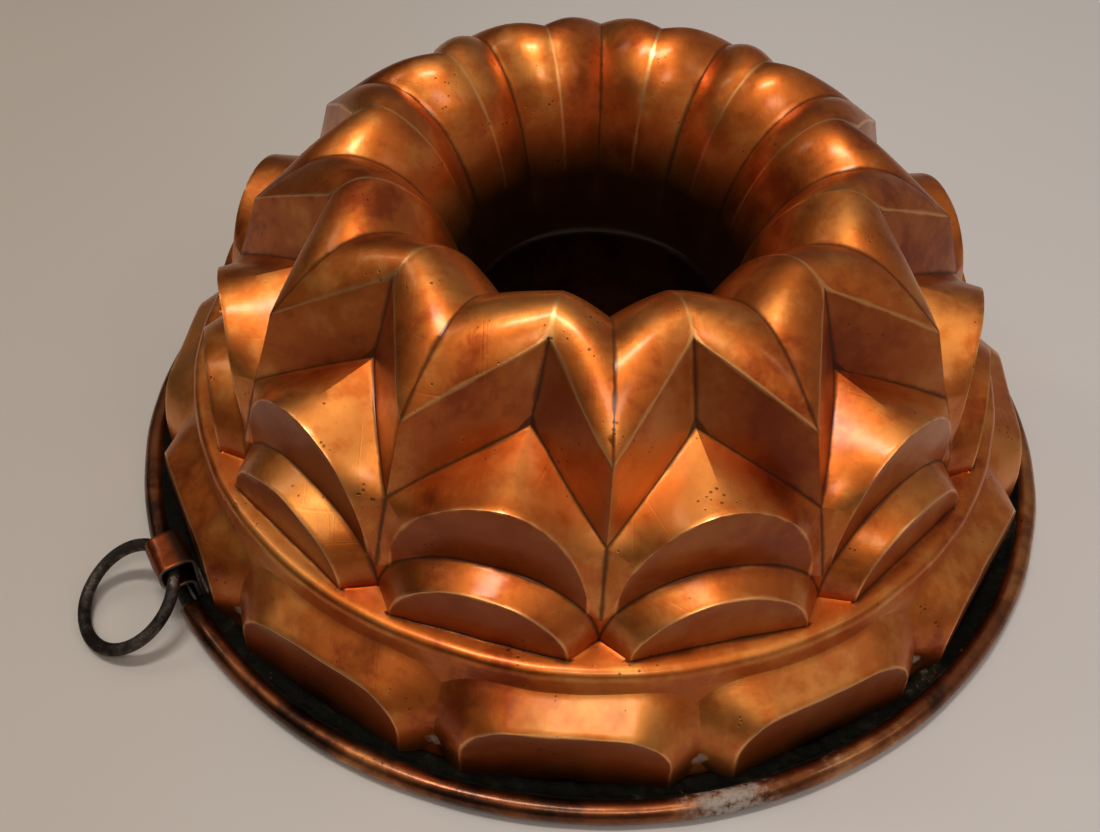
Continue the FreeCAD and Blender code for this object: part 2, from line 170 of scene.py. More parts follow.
def waves(points: Array, length: float, seed: int, count: int = 7) -> Array:
    """Smooth unevenness from -1 to 1: the mean of sine waves in seeded directions.

    Args:
        points: where it is wanted.
        length: wavelength of the longest wave.
        seed: picks the directions and phases.
        count: number of waves.

    Returns:
        One number for each point.
    """
    dice = np.random.default_rng(seed)
    total = np.zeros(points.shape[:-1])
    for _ in range(count):
        way = dice.normal(size=3)
        way *= 2 * math.pi / (length * dice.uniform(0.5, 1.0) * np.linalg.norm(way))
        total += np.sin(points @ way + dice.uniform(0, 2 * math.pi))
    return total / math.sqrt(count)


def nearest(points: Array, curves: Array) -> Array:
    """Distance from each point to the nearest of the curves' points, in blocks of rows."""
    squares = (curves**2).sum(axis=1)
    best = []
    for block in np.array_split(points, max(1, len(points) // 4000)):
        gap = (block**2).sum(axis=1)[:, None] + squares[None] - 2 * block @ curves.T
        best.append(np.sqrt(np.clip(gap.min(axis=1), 0.0, None)))
    return np.concatenate(best)


@dataclass
class Skin:
    """Grids of points gathered into one welded mesh, with marks of painted shade on faces."""

    grids: list[Array] = field(default_factory=list)
    marks: list[float] = field(default_factory=list)

    def add(self, grid: Array, mark: float = 0.0) -> None:
        """Adds a grid of rows by columns of points, and the painted shade mark of its faces."""
        self.grids.append(grid)
        self.marks.append(mark)

    def mesh(self, name: str, weld: float, heart: Array | None = None) -> bpy.types.Mesh:
        """Welds the grids and turns the faces outwards.

        Args:
            name: name of the mesh.
            weld: points closer than this become one.
            heart: radius and height of the ring inside the form; faces point away from it.
                None keeps what recalculation gives.

        Returns:
            The mesh, in metres, with the painted shade marks in the face attribute "facet".
        """
        points, quads, marks, start = [], [], [], 0
        for grid, mark in zip(self.grids, self.marks):
            rows, columns = grid.shape[:2]
            numbers = start + np.arange(rows * columns).reshape(rows, columns)
            corners = (numbers[:-1, :-1], numbers[:-1, 1:], numbers[1:, 1:], numbers[1:, :-1])
            quads.append(np.stack(corners, axis=-1).reshape(-1, 4))
            marks.append(np.full(len(quads[-1]), mark))
            points.append(grid.reshape(-1, 3))
            start += rows * columns
        mesh = bpy.data.meshes.new(name)
        mesh.from_pydata(np.concatenate(points) * MM, [], np.concatenate(quads).tolist())
        layer = mesh.attributes.new("facet", "FLOAT", "FACE")
        layer.data.foreach_set("value", np.concatenate(marks))
        work = bmesh.new()
        work.from_mesh(mesh)
        bmesh.ops.remove_doubles(work, verts=work.verts, dist=weld * MM)
        bmesh.ops.dissolve_degenerate(work, edges=work.edges, dist=1e-7)
        bmesh.ops.recalc_face_normals(work, faces=work.faces)
        if heart is not None:
            work.faces.ensure_lookup_table()
            probe = work.faces[0]
            centre = probe.calc_center_median() / MM
            around = math.hypot(centre.x, centre.y)
            core = Vector((centre.x / around * heart[0], centre.y / around * heart[0], heart[1]))
            if (centre - core).dot(probe.normal) < 0:
                bmesh.ops.reverse_faces(work, faces=work.faces)
        work.to_mesh(mesh)
        work.free()
        mesh.polygons.foreach_set("use_smooth", np.ones(len(mesh.polygons), dtype=bool))
        return mesh


def points_of(mesh: bpy.types.Mesh) -> Array:
    """Points of a mesh in millimetres."""
    flat = np.empty(len(mesh.vertices) * 3)
    mesh.vertices.foreach_get("co", flat)
    return flat.reshape(-1, 3) / MM


def move_points(mesh: bpy.types.Mesh, points: Array) -> None:
    """Puts a mesh's points at new places, in millimetres."""
    mesh.vertices.foreach_set("co", (points * MM).ravel())
    mesh.update()


def store(mesh: bpy.types.Mesh, name: str, values: Array) -> None:
    """Keeps one number for each point as an attribute."""
    mesh.attributes.new(name, "FLOAT", "POINT").data.foreach_set("value", values.astype(np.float32))


def place(mesh: bpy.types.Mesh, name: str) -> bpy.types.Object:
    """Object at the origin with this mesh, linked to the scene."""
    piece = bpy.data.objects.new(name, mesh)
    bpy.context.scene.collection.objects.link(piece)
    return piece


def crease_shading(piece: bpy.types.Object, degrees: float) -> None:
    """Marks edges sharper than an angle as sharp, so that faces meet there in a crisp line."""
    work = bmesh.new()
    work.from_mesh(piece.data)
    limit = math.radians(degrees)
    for edge in work.edges:
        edge.smooth = not (len(edge.link_faces) == 2 and edge.calc_face_angle(0.0) > limit)
    work.to_mesh(piece.data)
    work.free()


def thicken(piece: bpy.types.Object, gauge: float, offset: float = -1.0, inside: int = 0) -> None:
    """Gives a skin its thickness with a Solidify modifier.

    Args:
        piece: the skin.
        gauge: thickness.
        offset: -1 grows inwards, 1 outwards, 0 both ways.
        inside: material slot number of the inner face.
    """
    wall = piece.modifiers.new("wall", "SOLIDIFY")
    wall.thickness = gauge * MM
    wall.offset = offset
    wall.material_offset = inside
    wall.use_rim = True


def round_edges(piece: bpy.types.Object, width: float, degrees: float, segments: int = 2) -> None:
    """Softens edges sharper than an angle with a Bevel modifier."""
    soft = piece.modifiers.new("soft_edges", "BEVEL")
    soft.width = width * MM
    soft.segments = segments
    soft.limit_method = "ANGLE"
    soft.angle_limit = math.radians(degrees)
    soft.use_clamp_overlap = True


# ---------------------------------------------------------------- shader nodes


@dataclass
class Graph:
    """Adds and links nodes in one shader tree."""

    tree: bpy.types.NodeTree

    def node(self, kind: str, **settings: object) -> bpy.types.Node:
        """Adds a node and sets its properties."""
        made = self.tree.nodes.new(kind)
        for key, value in settings.items():
            setattr(made, key, value)
        return made

    def feed(self, socket: bpy.types.NodeSocket, source: object) -> None:
        """Links a socket to another, or sets its plain value."""
        if isinstance(source, bpy.types.NodeSocket):
            self.tree.links.new(source, socket)
        elif source is not None:
            socket.default_value = source

    def noise(self, where: object, scale: object, detail: float = 4.0, rough: float = 0.55,
              bend: float = 0.0) -> bpy.types.NodeSocket:
        """Fractal noise from 0 to 1."""
        made = self.node("ShaderNodeTexNoise")
        self.feed(made.inputs["Vector"], where)
        self.feed(made.inputs["Scale"], scale)
        made.inputs["Detail"].default_value = detail
        made.inputs["Roughness"].default_value = rough
        made.inputs["Distortion"].default_value = bend
        return made.outputs["Fac"]

    def cells(self, where: object, scale: object, jitter: float = 1.0) -> bpy.types.NodeSocket:
        """Distance to the nearest of scattered spots."""
        made = self.node("ShaderNodeTexVoronoi")
        self.feed(made.inputs["Vector"], where)
        self.feed(made.inputs["Scale"], scale)
        made.inputs["Randomness"].default_value = jitter
        return made.outputs["Distance"]

    def sums(self, operation: str, first: object, second: object = None,
             clamp: bool = False) -> bpy.types.NodeSocket:
        """One Math node."""
        made = self.node("ShaderNodeMath", operation=operation, use_clamp=clamp)
        self.feed(made.inputs[0], first)
        self.feed(made.inputs[1], second)
        return made.outputs[0]

    def step(self, value: object, low: object, high: object, start: object = 0.0,
             end: object = 1.0) -> bpy.types.NodeSocket:
        """Smooth step: start below low, end above high."""
        made = self.node("ShaderNodeMapRange", interpolation_type="SMOOTHSTEP")
        for name, source in (("Value", value), ("From Min", low), ("From Max", high),
                             ("To Min", start), ("To Max", end)):
            self.feed(made.inputs[name], source)
        return made.outputs[0]

    def blend(self, share: object, first: object, second: object,
              kind: str = "MIX") -> bpy.types.NodeSocket:
        """Mixes two colours."""
        made = self.node("ShaderNodeMix", data_type="RGBA", blend_type=kind)
        self.feed(made.inputs["Factor"], share)
        self.feed(made.inputs[6], first)
        self.feed(made.inputs[7], second)
        return made.outputs[2]

    def stretch(self, where: object, scale: Sequence[float],
                turn: Sequence[float] = (0.0, 0.0, 0.0)) -> bpy.types.NodeSocket:
        """Coordinates turned and stretched by a Mapping node."""
        made = self.node("ShaderNodeMapping")
        self.feed(made.inputs["Vector"], where)
        made.inputs["Scale"].default_value = scale
        made.inputs["Rotation"].default_value = turn
        return made.outputs[0]

    def attribute(self, name: str) -> bpy.types.NodeSocket:
        """Number kept on the mesh."""
        return self.node("ShaderNodeAttribute", attribute_name=name).outputs["Fac"]

    def bump(self, height: object, depth_m: float, strength: float = 1.0,
             normal: object = None) -> bpy.types.NodeSocket:
        """Normal tilted by a height field."""
        made = self.node("ShaderNodeBump")
        made.inputs["Strength"].default_value = strength
        made.inputs["Distance"].default_value = depth_m
        self.feed(made.inputs["Height"], height)
        self.feed(made.inputs["Normal"], normal)
        return made.outputs[0]

    def group(self, tree: bpy.types.NodeTree, **inputs: object) -> bpy.types.Node:
        """Places a shared group and feeds its inputs; underscores stand for spaces."""
        made = self.node("ShaderNodeGroup", node_tree=tree)
        for key, value in inputs.items():
            self.feed(made.inputs[key.replace("_", " ")], value)
        return made


def new_group(name: str, inputs: Sequence[tuple[str, str, object]],
              outputs: Sequence[tuple[str, str]]) -> tuple[Graph, bpy.types.Node, bpy.types.Node]:
    """Starts a shader group with named sockets.

    Args:
        name: name of the group.
        inputs: name, kind and default of each input.
        outputs: name and kind of each output.

    Returns:
        The graph and its input and output nodes.
    """
    tree = bpy.data.node_groups.new(name, "ShaderNodeTree")
    for label, kind, default in inputs:
        socket = tree.interface.new_socket(label, in_out="INPUT", socket_type=kind)
        if default is not None:
            socket.default_value = default
    for label, kind in outputs:
        tree.interface.new_socket(label, in_out="OUTPUT", socket_type=kind)
    graph = Graph(tree)
    return graph, graph.node("NodeGroupInput"), graph.node("NodeGroupOutput")


NUMBER, TINT, ARROW = "NodeSocketFloat", "NodeSocketColor", "NodeSocketVector"


def tarnish_group() -> bpy.types.NodeTree:
    """Cloudy tarnish: three scales of noise mixed, out as a mask and as a colour between three."""
    graph, start, end = new_group(
        "tarnish_clouds",
        [("Where", ARROW, None), ("Scale", NUMBER, 22.0), ("Bright", TINT, None),
         ("Middle", TINT, None), ("Dark", TINT, None), ("Balance", NUMBER, 0.5)],
        [("Colour", TINT), ("Mask", NUMBER)],
    )
    where = start.outputs["Where"]
    wide = graph.noise(where, start.outputs["Scale"], 5.0, 0.6, 0.35)
    close = graph.noise(where, graph.sums("MULTIPLY", start.outputs["Scale"], 5.5), 6.0, 0.65, 0.2)
    both = graph.sums("ADD", graph.sums("MULTIPLY", wide, 0.68), graph.sums("MULTIPLY", close, 0.32))
    low = graph.sums("SUBTRACT", start.outputs["Balance"], 0.15)
    high = graph.sums("ADD", start.outputs["Balance"], 0.15)
    mask = graph.step(both, low, high)
    lower = graph.step(mask, 0.0, 0.5)
    upper = graph.step(mask, 0.5, 1.0)
    tone = graph.blend(lower, start.outputs["Dark"], start.outputs["Middle"])
    tone = graph.blend(upper, tone, start.outputs["Bright"])
    graph.feed(end.inputs["Colour"], tone)
    graph.feed(end.inputs["Mask"], mask)
    return graph.tree


def fringe_group() -> bpy.types.NodeTree:
    """Ragged fringe along a line: a distance, made uneven by noise, fades out over a width."""
    graph, start, end = new_group(
        "ragged_fringe",
        [("Where", ARROW, None), ("Distance", NUMBER, 10.0), ("Width", NUMBER, 1.0),
         ("Raggedness", NUMBER, 0.6), ("Scale", NUMBER, 180.0)],
        [("Mask", NUMBER)],
    )
    rough = graph.noise(start.outputs["Where"], start.outputs["Scale"], 4.0, 0.6)
    swing = graph.sums("MULTIPLY", graph.sums("SUBTRACT", rough, 0.5), start.outputs["Raggedness"])
    reach = graph.sums("MULTIPLY", start.outputs["Width"], graph.sums("ADD", 1.0, graph.sums(
        "MULTIPLY", swing, 4.0)))
    share = graph.sums("DIVIDE", start.outputs["Distance"], graph.sums("MAXIMUM", reach, 0.02))
    graph.feed(end.inputs["Mask"], graph.step(share, 0.0, 1.0, 1.0, 0.0))
    return graph.tree


def pits_group() -> bpy.types.NodeTree:
    """Scattered small pits: spots whose size follows noise, out as a mask."""
    graph, start, end = new_group(
        "scattered_pits",
        [("Where", ARROW, None), ("Scale", NUMBER, 420.0), ("Size", NUMBER, 0.2)],
        [("Mask", NUMBER)],
    )
    spots = graph.cells(start.outputs["Where"], start.outputs["Scale"])
    gate = graph.noise(start.outputs["Where"], graph.sums("MULTIPLY", start.outputs["Scale"], 0.16),
                       3.0, 0.6)
    reach = graph.sums("MULTIPLY", start.outputs["Size"], graph.step(gate, 0.5, 0.72))
    graph.feed(end.inputs["Mask"], graph.step(
        graph.sums("SUBTRACT", spots, reach), -0.04, 0.05, 1.0, 0.0))
    return graph.tree


def scratches_group() -> bpy.types.NodeTree:
    """Fine scratches both ways: two noises stretched long, out as a height from 0 to 1."""
    graph, start, end = new_group(
        "fine_scratches", [("Where", ARROW, None), ("Amount", NUMBER, 0.5)], [("Height", NUMBER)])
    lines = []
    for turn, scale in (((0.2, 0.5, 0.7), (30.0, 30.0, 2400.0)), ((0.9, 0.2, 2.2), (2600.0, 26.0, 40.0))):
        thin = graph.noise(graph.stretch(start.outputs["Where"], scale, turn), 1.0, 2.0, 0.5)
        lines.append(graph.step(thin, 0.62, 0.74))
    both = graph.sums("MAXIMUM", lines[0], lines[1])
    graph.feed(end.inputs["Height"], graph.sums("MULTIPLY", both, start.outputs["Amount"]))
    return graph.tree


@dataclass(frozen=True)
class Shared:
    """Shader groups that several finishes use."""

    tarnish: bpy.types.NodeTree
    fringe: bpy.types.NodeTree
    pits: bpy.types.NodeTree
    scratches: bpy.types.NodeTree

    @staticmethod
    def build() -> "Shared":
        """Makes each group once."""
        return Shared(tarnish_group(), fringe_group(), pits_group(), scratches_group())


def new_material(name: str) -> tuple[bpy.types.Material, Graph, bpy.types.Node, bpy.types.NodeSocket]:
    """Empty material.

    Returns:
        The material, its graph, its Principled shader and the Object coordinates.
    """
    material = bpy.data.materials.new(name)
    material.use_nodes = True
    graph = Graph(material.node_tree)
    shader = next(n for n in material.node_tree.nodes if n.type == "BSDF_PRINCIPLED")
    where = graph.node("ShaderNodeTexCoord").outputs["Object"]
    return material, graph, shader, where


@dataclass(frozen=True)
class Copper:
    """Old sheet copper: cloudy tarnish, pits and scratches, grime with painted shade in hollows and the
    throat, painted shade on flat faces, rubbed edges with a painted highlight.

    A thin film of grease over the tarnish gives pale narrow highlights.
    """

    name: str
    bright: Colour = (0.80, 0.360, 0.095, 1.0)
    middle: Colour = (0.66, 0.215, 0.038, 1.0)
    dark: Colour = (0.42, 0.092, 0.014, 1.0)
    # Painted shade: flat faces take this darker tone, mostly for the little light they catch, partly
    # patina.
    facet_shade_tone: Colour = (0.27, 0.058, 0.008, 1.0)
    facet_shade_share: float = 0.8
    # Painted highlight with some real rubbing: raised edges take this bright tone.
    rubbed_edge_and_highlight_tone: Colour = (0.95, 0.56, 0.24, 1.0)
    # Grime and painted shade in hollows and the throat; also the colour of the pits.
    dirt_and_shade_tone: Colour = (0.045, 0.014, 0.005, 1.0)
    residue_tone: Colour = (0.52, 0.47, 0.42, 1.0)
    dirt_and_shade_width: float = 0.9
    rubbed_edge_and_highlight_width: float = 0.7
    balance: float = 0.49
    smooth: float = 0.40
    rough: float = 0.56
    film: float = 0.6

    def build(self, shared: Shared) -> bpy.types.Material:
        """Makes the material.

        Args:
            shared: the shared groups.

        Returns:
            The finished material.
        """
        material, graph, shader, where = new_material(self.name)
        clouds = graph.group(shared.tarnish, Where=where, Scale=24.0, Bright=self.bright,
                             Middle=self.middle, Dark=self.dark, Balance=self.balance)
        # Painted shade: flat faces darken towards the facet shade tone by their marks.
        facet = graph.sums("MULTIPLY", graph.attribute("facet"), self.facet_shade_share)
        tone = graph.blend(facet, clouds.outputs["Colour"], self.facet_shade_tone)
        # Painted highlight, partly real rubbing: a bright ragged fringe along the raised edges.
        edge = graph.group(shared.fringe, Where=where, Distance=graph.attribute("edge_distance"),
                           Width=self.rubbed_edge_and_highlight_width, Raggedness=0.7, Scale=160.0).outputs["Mask"]
        # Grime and painted shade: a dark ragged fringe along the hollows.
        hollow_dirt_and_shade = graph.group(shared.fringe, Where=where, Distance=graph.attribute("groove_distance"),
                           Width=self.dirt_and_shade_width, Raggedness=0.9, Scale=120.0).outputs["Mask"]
        pits = graph.group(shared.pits, Where=where, Scale=700.0, Size=0.25).outputs["Mask"]
        # Painted shade: the throat round the tube darkens towards the bottom, nearly to black.
        shade_and_grime = graph.attribute("shade_and_grime")
        tone = graph.blend(graph.sums("MULTIPLY", edge, 0.75), tone, self.rubbed_edge_and_highlight_tone)
        tone = graph.blend(graph.sums("MULTIPLY", pits, 0.55), tone, self.dirt_and_shade_tone)
        tone = graph.blend(graph.sums("MULTIPLY", hollow_dirt_and_shade, 0.62), tone, self.dirt_and_shade_tone)
        tone = graph.blend(graph.sums("MULTIPLY", shade_and_grime, 0.96), tone, self.dirt_and_shade_tone)
        flaky = graph.noise(where, 650.0, 5.0, 0.7)
        chalk = graph.step(graph.sums("MULTIPLY", graph.attribute("residue"), graph.sums(
            "MULTIPLY", flaky, 2.0)), 0.30, 0.75)
        tone = graph.blend(chalk, tone, self.residue_tone)
        graph.feed(shader.inputs["Base Color"], tone)
        smear = graph.noise(where, 75.0, 5.0, 0.62, 0.3)
        gloss = graph.step(smear, 0.3, 0.7, self.smooth, self.rough)
        gloss = graph.sums("ADD", gloss, graph.sums("MULTIPLY", facet, 0.10))
        gloss = graph.sums("ADD", gloss, graph.sums("MULTIPLY", graph.sums(
            "MAXIMUM", hollow_dirt_and_shade, shade_and_grime), 0.25))
        gloss = graph.sums("ADD", gloss, graph.sums("MULTIPLY", chalk, 0.4))
        gloss = graph.sums("SUBTRACT", gloss, graph.sums("MULTIPLY", edge, 0.10), clamp=True)
        graph.feed(shader.inputs["Roughness"], gloss)
        graph.feed(shader.inputs["Metallic"], graph.step(chalk, 0.0, 0.8, 1.0, 0.2))
        shader.inputs["Coat Weight"].default_value = self.film
        shader.inputs["Coat Roughness"].default_value = 0.20
        shader.inputs["Coat IOR"].default_value = 1.5
        lines = graph.group(shared.scratches, Where=where, Amount=0.6).outputs["Height"]
        grain = graph.noise(where, 1500.0, 3.0, 0.6)
        lumps = graph.noise(where, 130.0, 3.0, 0.5)
        height = graph.sums("ADD", graph.sums("MULTIPLY", grain, 0.12),
                            graph.sums("MULTIPLY", lines, -0.16))
        height = graph.sums("ADD", height, graph.sums("MULTIPLY", lumps, 1.1))
        height = graph.sums("SUBTRACT", height, graph.sums("MULTIPLY", pits, 0.5))
        graph.feed(shader.inputs["Normal"], graph.bump(height, 0.0002, 0.55))
        return material


@dataclass(frozen=True)
class Metal:
    """Plain worked metal or solder: two tones in clouds, specks and a rough skin."""

    name: str
    light: Colour
    middle: Colour
    dark: Colour
    speck: Colour
    metallic: float
    smooth: float
    rough: float
    scale: float = 90.0
    depth_m: float = 0.0002
    balance: float = 0.5

    def build(self, shared: Shared) -> bpy.types.Material:
        """Makes the material.

        Args:
            shared: the shared groups.

        Returns:
            The finished material.
        """
        material, graph, shader, where = new_material(self.name)
        clouds = graph.group(shared.tarnish, Where=where, Scale=self.scale, Bright=self.light,
                             Middle=self.middle, Dark=self.dark, Balance=self.balance)
        pits = graph.group(shared.pits, Where=where, Scale=700.0, Size=0.4).outputs["Mask"]
        graph.feed(shader.inputs["Base Color"],
                   graph.blend(pits, clouds.outputs["Colour"], self.speck))
        graph.feed(shader.inputs["Roughness"],
                   graph.step(clouds.outputs["Mask"], 0.0, 1.0, self.rough, self.smooth))
        shader.inputs["Metallic"].default_value = self.metallic
        coarse = graph.noise(where, self.scale * 7.0, 6.0, 0.7)
        height = graph.sums("SUBTRACT", coarse, graph.sums("MULTIPLY", pits, 0.4))
        graph.feed(shader.inputs["Normal"], graph.bump(height, self.depth_m, 0.8))
        return material


def dress(piece: bpy.types.Object, *materials: bpy.types.Material) -> None:
    """Gives a piece its materials, in slot order."""
    if len(piece.data.materials) and piece.users_collection:
        for number, material in enumerate(materials):
            if number < len(piece.material_slots):
                piece.material_slots[number].link = "OBJECT"
                piece.material_slots[number].material = material
        return
    for material in materials:
        piece.data.materials.append(material)


@dataclass(frozen=True)
class Finishes:
    """Every finish of the mould."""

    copper: bpy.types.Material
    tube: bpy.types.Material
    strap: bpy.types.Material
    band: bpy.types.Material
    tin: bpy.types.Material
    iron: bpy.types.Material
    solder: bpy.types.Material
    groove: bpy.types.Material
    floor: bpy.types.Material

    @staticmethod
    def build() -> "Finishes":
        """Makes every material once."""
        shared = Shared.build()
        copper = Copper("aged_copper").build(shared)
        # Painted shade: the copper tube down in the throat is coloured near black.
        tube = Metal("painted_shade_tube", (0.055, 0.013, 0.005, 1), (0.032, 0.008, 0.003, 1),
                     (0.014, 0.004, 0.002, 1), (0.010, 0.004, 0.003, 1), 1.0, 0.45, 0.7,
                     40.0).build(shared)
        strap = Copper("strap_copper", bright=(0.62, 0.20, 0.05, 1), middle=(0.46, 0.12, 0.025, 1),
                       dark=(0.22, 0.05, 0.012, 1), smooth=0.34, rough=0.5).build(shared)
        band = Copper("band_copper", bright=(0.56, 0.26, 0.095, 1), middle=(0.30, 0.105, 0.034, 1),
                      dark=(0.07, 0.028, 0.014, 1), balance=0.52, smooth=0.28, rough=0.5).build(shared)
        tin = Metal("tin_lining", (0.60, 0.56, 0.50, 1), (0.40, 0.37, 0.33, 1),
                    (0.20, 0.17, 0.14, 1), (0.30, 0.16, 0.09, 1), 0.9, 0.32, 0.6, 30.0).build(shared)
        iron = Metal("rusted_iron", (0.20, 0.17, 0.15, 1), (0.085, 0.07, 0.06, 1),
                     (0.03, 0.024, 0.02, 1), (0.16, 0.075, 0.04, 1), 0.75, 0.38, 0.66, 110.0,
                     0.0003).build(shared)
        solder = Metal("dull_solder", (0.50, 0.47, 0.42, 1), (0.30, 0.28, 0.25, 1),
                       (0.12, 0.11, 0.10, 1), (0.05, 0.05, 0.045, 1), 0.8, 0.4, 0.7, 120.0,
                       0.0003).build(shared)
        groove = Metal("groove_crust", (0.24, 0.215, 0.14, 1), (0.028, 0.026, 0.013, 1),
                       (0.009, 0.009, 0.005, 1), (0.13, 0.05, 0.016, 1), 0.7, 0.34, 0.6, 110.0,
                       0.0006, 0.59).build(shared)
        return Finishes(copper, tube, strap, band, tin, iron, solder, groove, floor_material())


def floor_material() -> bpy.types.Material:
    """Pale matt table: a darker warm tone on the left passes into a lighter cooler one, painted light
    falloff, with faint cloudiness.
    """
    material, graph, shader, where = new_material("pale_table")
    split = graph.node("ShaderNodeSeparateXYZ")
    graph.feed(split.inputs[0], where)
    # Painted shade: the table darkens towards the left, where the light falls off.
    side = graph.step(split.outputs[0], -0.24, 0.10)
    tone = graph.blend(side, (0.66, 0.61, 0.555, 1), (0.80, 0.785, 0.785, 1))
    cloud = graph.noise(where, 6.0, 3.0, 0.5)
    graph.feed(shader.inputs["Base Color"], graph.blend(
        graph.step(cloud, 0.3, 0.7, 0.0, 0.06), tone, (0.5, 0.48, 0.46, 1)))
    graph.feed(shader.inputs["Roughness"], graph.step(cloud, 0.3, 0.7, 0.55, 0.65))
    graph.feed(shader.inputs["Normal"], graph.bump(graph.noise(where, 900.0, 3.0, 0.6), 0.00005, 0.3))
    return material


# ---------------------------------------------------------------- the pressed body


@dataclass
class Pattern:
    """Sizes of the pressed pattern, and its curves in a sector's own frame (one side)."""

    tube_radius: float = 31.0
    collar_end: float = 40.0
    crease_foot: tuple[float, float] = (68.8, 67.4)
    prow: tuple[float, float] = (88.0, 55.0)
    gusset: tuple[float, float] = (93.6, 38.6)
    crease_bow: float = 1.6
    arch_face: float = 90.0
    arch_half_width: float = 21.2
    arch_spring: float = 39.0
    arch_top: float = 65.0
    arc_split: float = 0.62
    scale_face: float = 96.9
    scale_half_width: float = 19.3
    scale_rise: float = 14.3
    scale_widen: float = 5.0 / 6.5
    scale_lift: float = 1.8 / 6.5
    ledge_height: float = 31.2
    crest_start: float = 99.4
    crest_radius: float = 102.0
    skirt_radius: float = 102.6
    skirt_height: float = 24.5
    skirt_top: float = 28.6
    foot_radius: float = 110.6
    foot_level: float = 3.2
    wall_end: float = 2.3
    along: int = 60
    width: int = 10
    kite_rows: int = 8
    barrel_rows: int = 12
    lower_steps: int = 8
    side_steps: int = 12
    drop_steps: int = 2
    scale_rows: int = 6
    ridge: tuple[tuple[float, float], ...] = (
        (31, 2.2), (31, 40), (31, 48), (33.4, 60), (35.8, 69.5), (41, 79.5), (47.5, 86),
        (54, 89.6), (58.5, 88.3), (61.8, 85.4))
    valley: tuple[tuple[float, float], ...] = (
        (31, 2.2), (31, 40), (31, 48), (35.6, 57), (38.5, 67.5), (44.5, 77.5), (53, 83.8),
        (63, 86), (73, 80), (82.2, 72))
    swell: tuple[float | None, ...] = (None, None, None, 0.3, 0.6, 0.8, 1.1, 1.8, 2.0, 0.8)

    def at_valley(self, spot: tuple[float, float]) -> Array:
        """Point on the valley plane, in a sector's own frame."""
        turn = math.radians(HALF)
        return local(spot[0] * math.cos(turn), spot[0] * math.sin(turn), spot[1])

    def poles(self) -> Array:
        """Control points of one strip: ridge, middle and valley columns."""
        ridge, valley = np.array(self.ridge, float), np.array(self.valley, float)
        normals = []
        for line in (ridge, valley):
            before, after = np.vstack([line[:1], line[:-1]]), np.vstack([line[1:], line[-1:]])
            run = after - before
            run /= np.linalg.norm(run, axis=1)[:, None]
            normals.append(np.stack([-run[:, 1], run[:, 0]], axis=1))
        out = (normals[0] + normals[1]) / 2.0
        quarter = math.radians(HALF / 2.0)
        half = math.radians(HALF)
        first = local(ridge[:, 0], 0.0, ridge[:, 1])
        last = local(valley[:, 0] * math.cos(half), valley[:, 0] * math.sin(half), valley[:, 1])
        swell = np.array([0.0 if value is None else value for value in self.swell])
        lift = out * swell[:, None]
        middle = (first + last) / 2.0 + local(
            lift[:, 0] * math.cos(quarter), lift[:, 0] * math.sin(quarter), lift[:, 1])
        collar = np.array([value is None for value in self.swell])
        wide = ridge[:, 0] / math.cos(quarter)
        round_pole = local(wide * math.cos(quarter), wide * math.sin(quarter), ridge[:, 1])
        middle[collar] = round_pole[collar]
        return np.stack([first, middle, last], axis=1)

    def strip(self, shares: Array, across: Array) -> Array:
        """Strip of the crown: cubic along its poles, quadratic across them."""
        weights = smooth_basis(len(self.ridge), shares)
        bands = np.stack([(1 - across) ** 2, 2 * across * (1 - across), across**2], axis=1)
        return np.einsum("ai,ijk,bj->abk", weights, self.poles(), bands)

    def strip_shares(self) -> Array:
        """Parameters of a strip's rows, from the end of the collar to the strip's end."""
        trial = np.linspace(0.0, 0.3, 400)
        heights = self.strip(trial, np.zeros(1))[:, 0, 2]
        start = float(np.interp(self.collar_end - 0.2, heights, trial))
        return np.linspace(start, 1.0, self.along + 1)

    def crease(self, across: Array) -> Array:
        """Edge between a notch's facet and the arch's barrel: a bowed line."""
        foot, prow = local(self.crease_foot[0], 0.0, self.crease_foot[1]), self.at_valley(self.prow)
        bow = (foot + prow) / 2.0 + local(self.crease_bow, 0.0, self.crease_bow)
        return conic(foot, bow, prow, across)

    def arch(self, share: Array) -> Array:
        """Quarter ellipse of an arch's face, from its top to its shoulder."""
        top = local(self.arch_face, 0.0, self.arch_top)
        corner = local(self.arch_face, self.arch_half_width, self.arch_top)
        shoulder = local(self.arch_face, self.arch_half_width, self.arch_spring)
        return conic(top, corner, shoulder, share, math.sqrt(0.5))

    def scale_size(self, distance: float) -> tuple[float, float]:
        """Half width and rise of a scale's half ellipse at a distance from the axis."""
        inward = self.scale_face - distance
        return (self.scale_half_width + self.scale_widen * inward,
                self.scale_rise + self.scale_lift * inward)

    def scale_root(self) -> Array:
        """Line where a scale meets its arch: over the face, round the shoulder, down to the ledge."""
        half_width, rise = self.scale_size(self.arch_face)
        upper = self.width + self.lower_steps
        across = self.arch_half_width * np.linspace(0.0, 1.0, upper + 1)
        height = self.ledge_height + rise * np.sqrt(1 - (across / half_width) ** 2)
        sag = height[-1] - self.arch_spring
        height = height - sag * (across / self.arch_half_width) ** 4
        face = local(self.arch_face, across, height)
        shoulder, gusset = face[-1], self.at_valley(self.gusset)
        share = np.linspace(0.0, 1.0, self.side_steps + 1)[1:]
        side = shoulder + share[:, None] * (gusset - shoulder)
        drop = share**1.35
        side[:, 2] = self.arch_spring + drop * (self.ledge_height + 1.6 - self.arch_spring)
        down = np.repeat(side[-1:], self.drop_steps, axis=0)
        down[:, 2] = self.ledge_height + 1.6 * np.linspace(1.0, 0.0, self.drop_steps + 1)[1:]
        return np.concatenate([face, side, down])

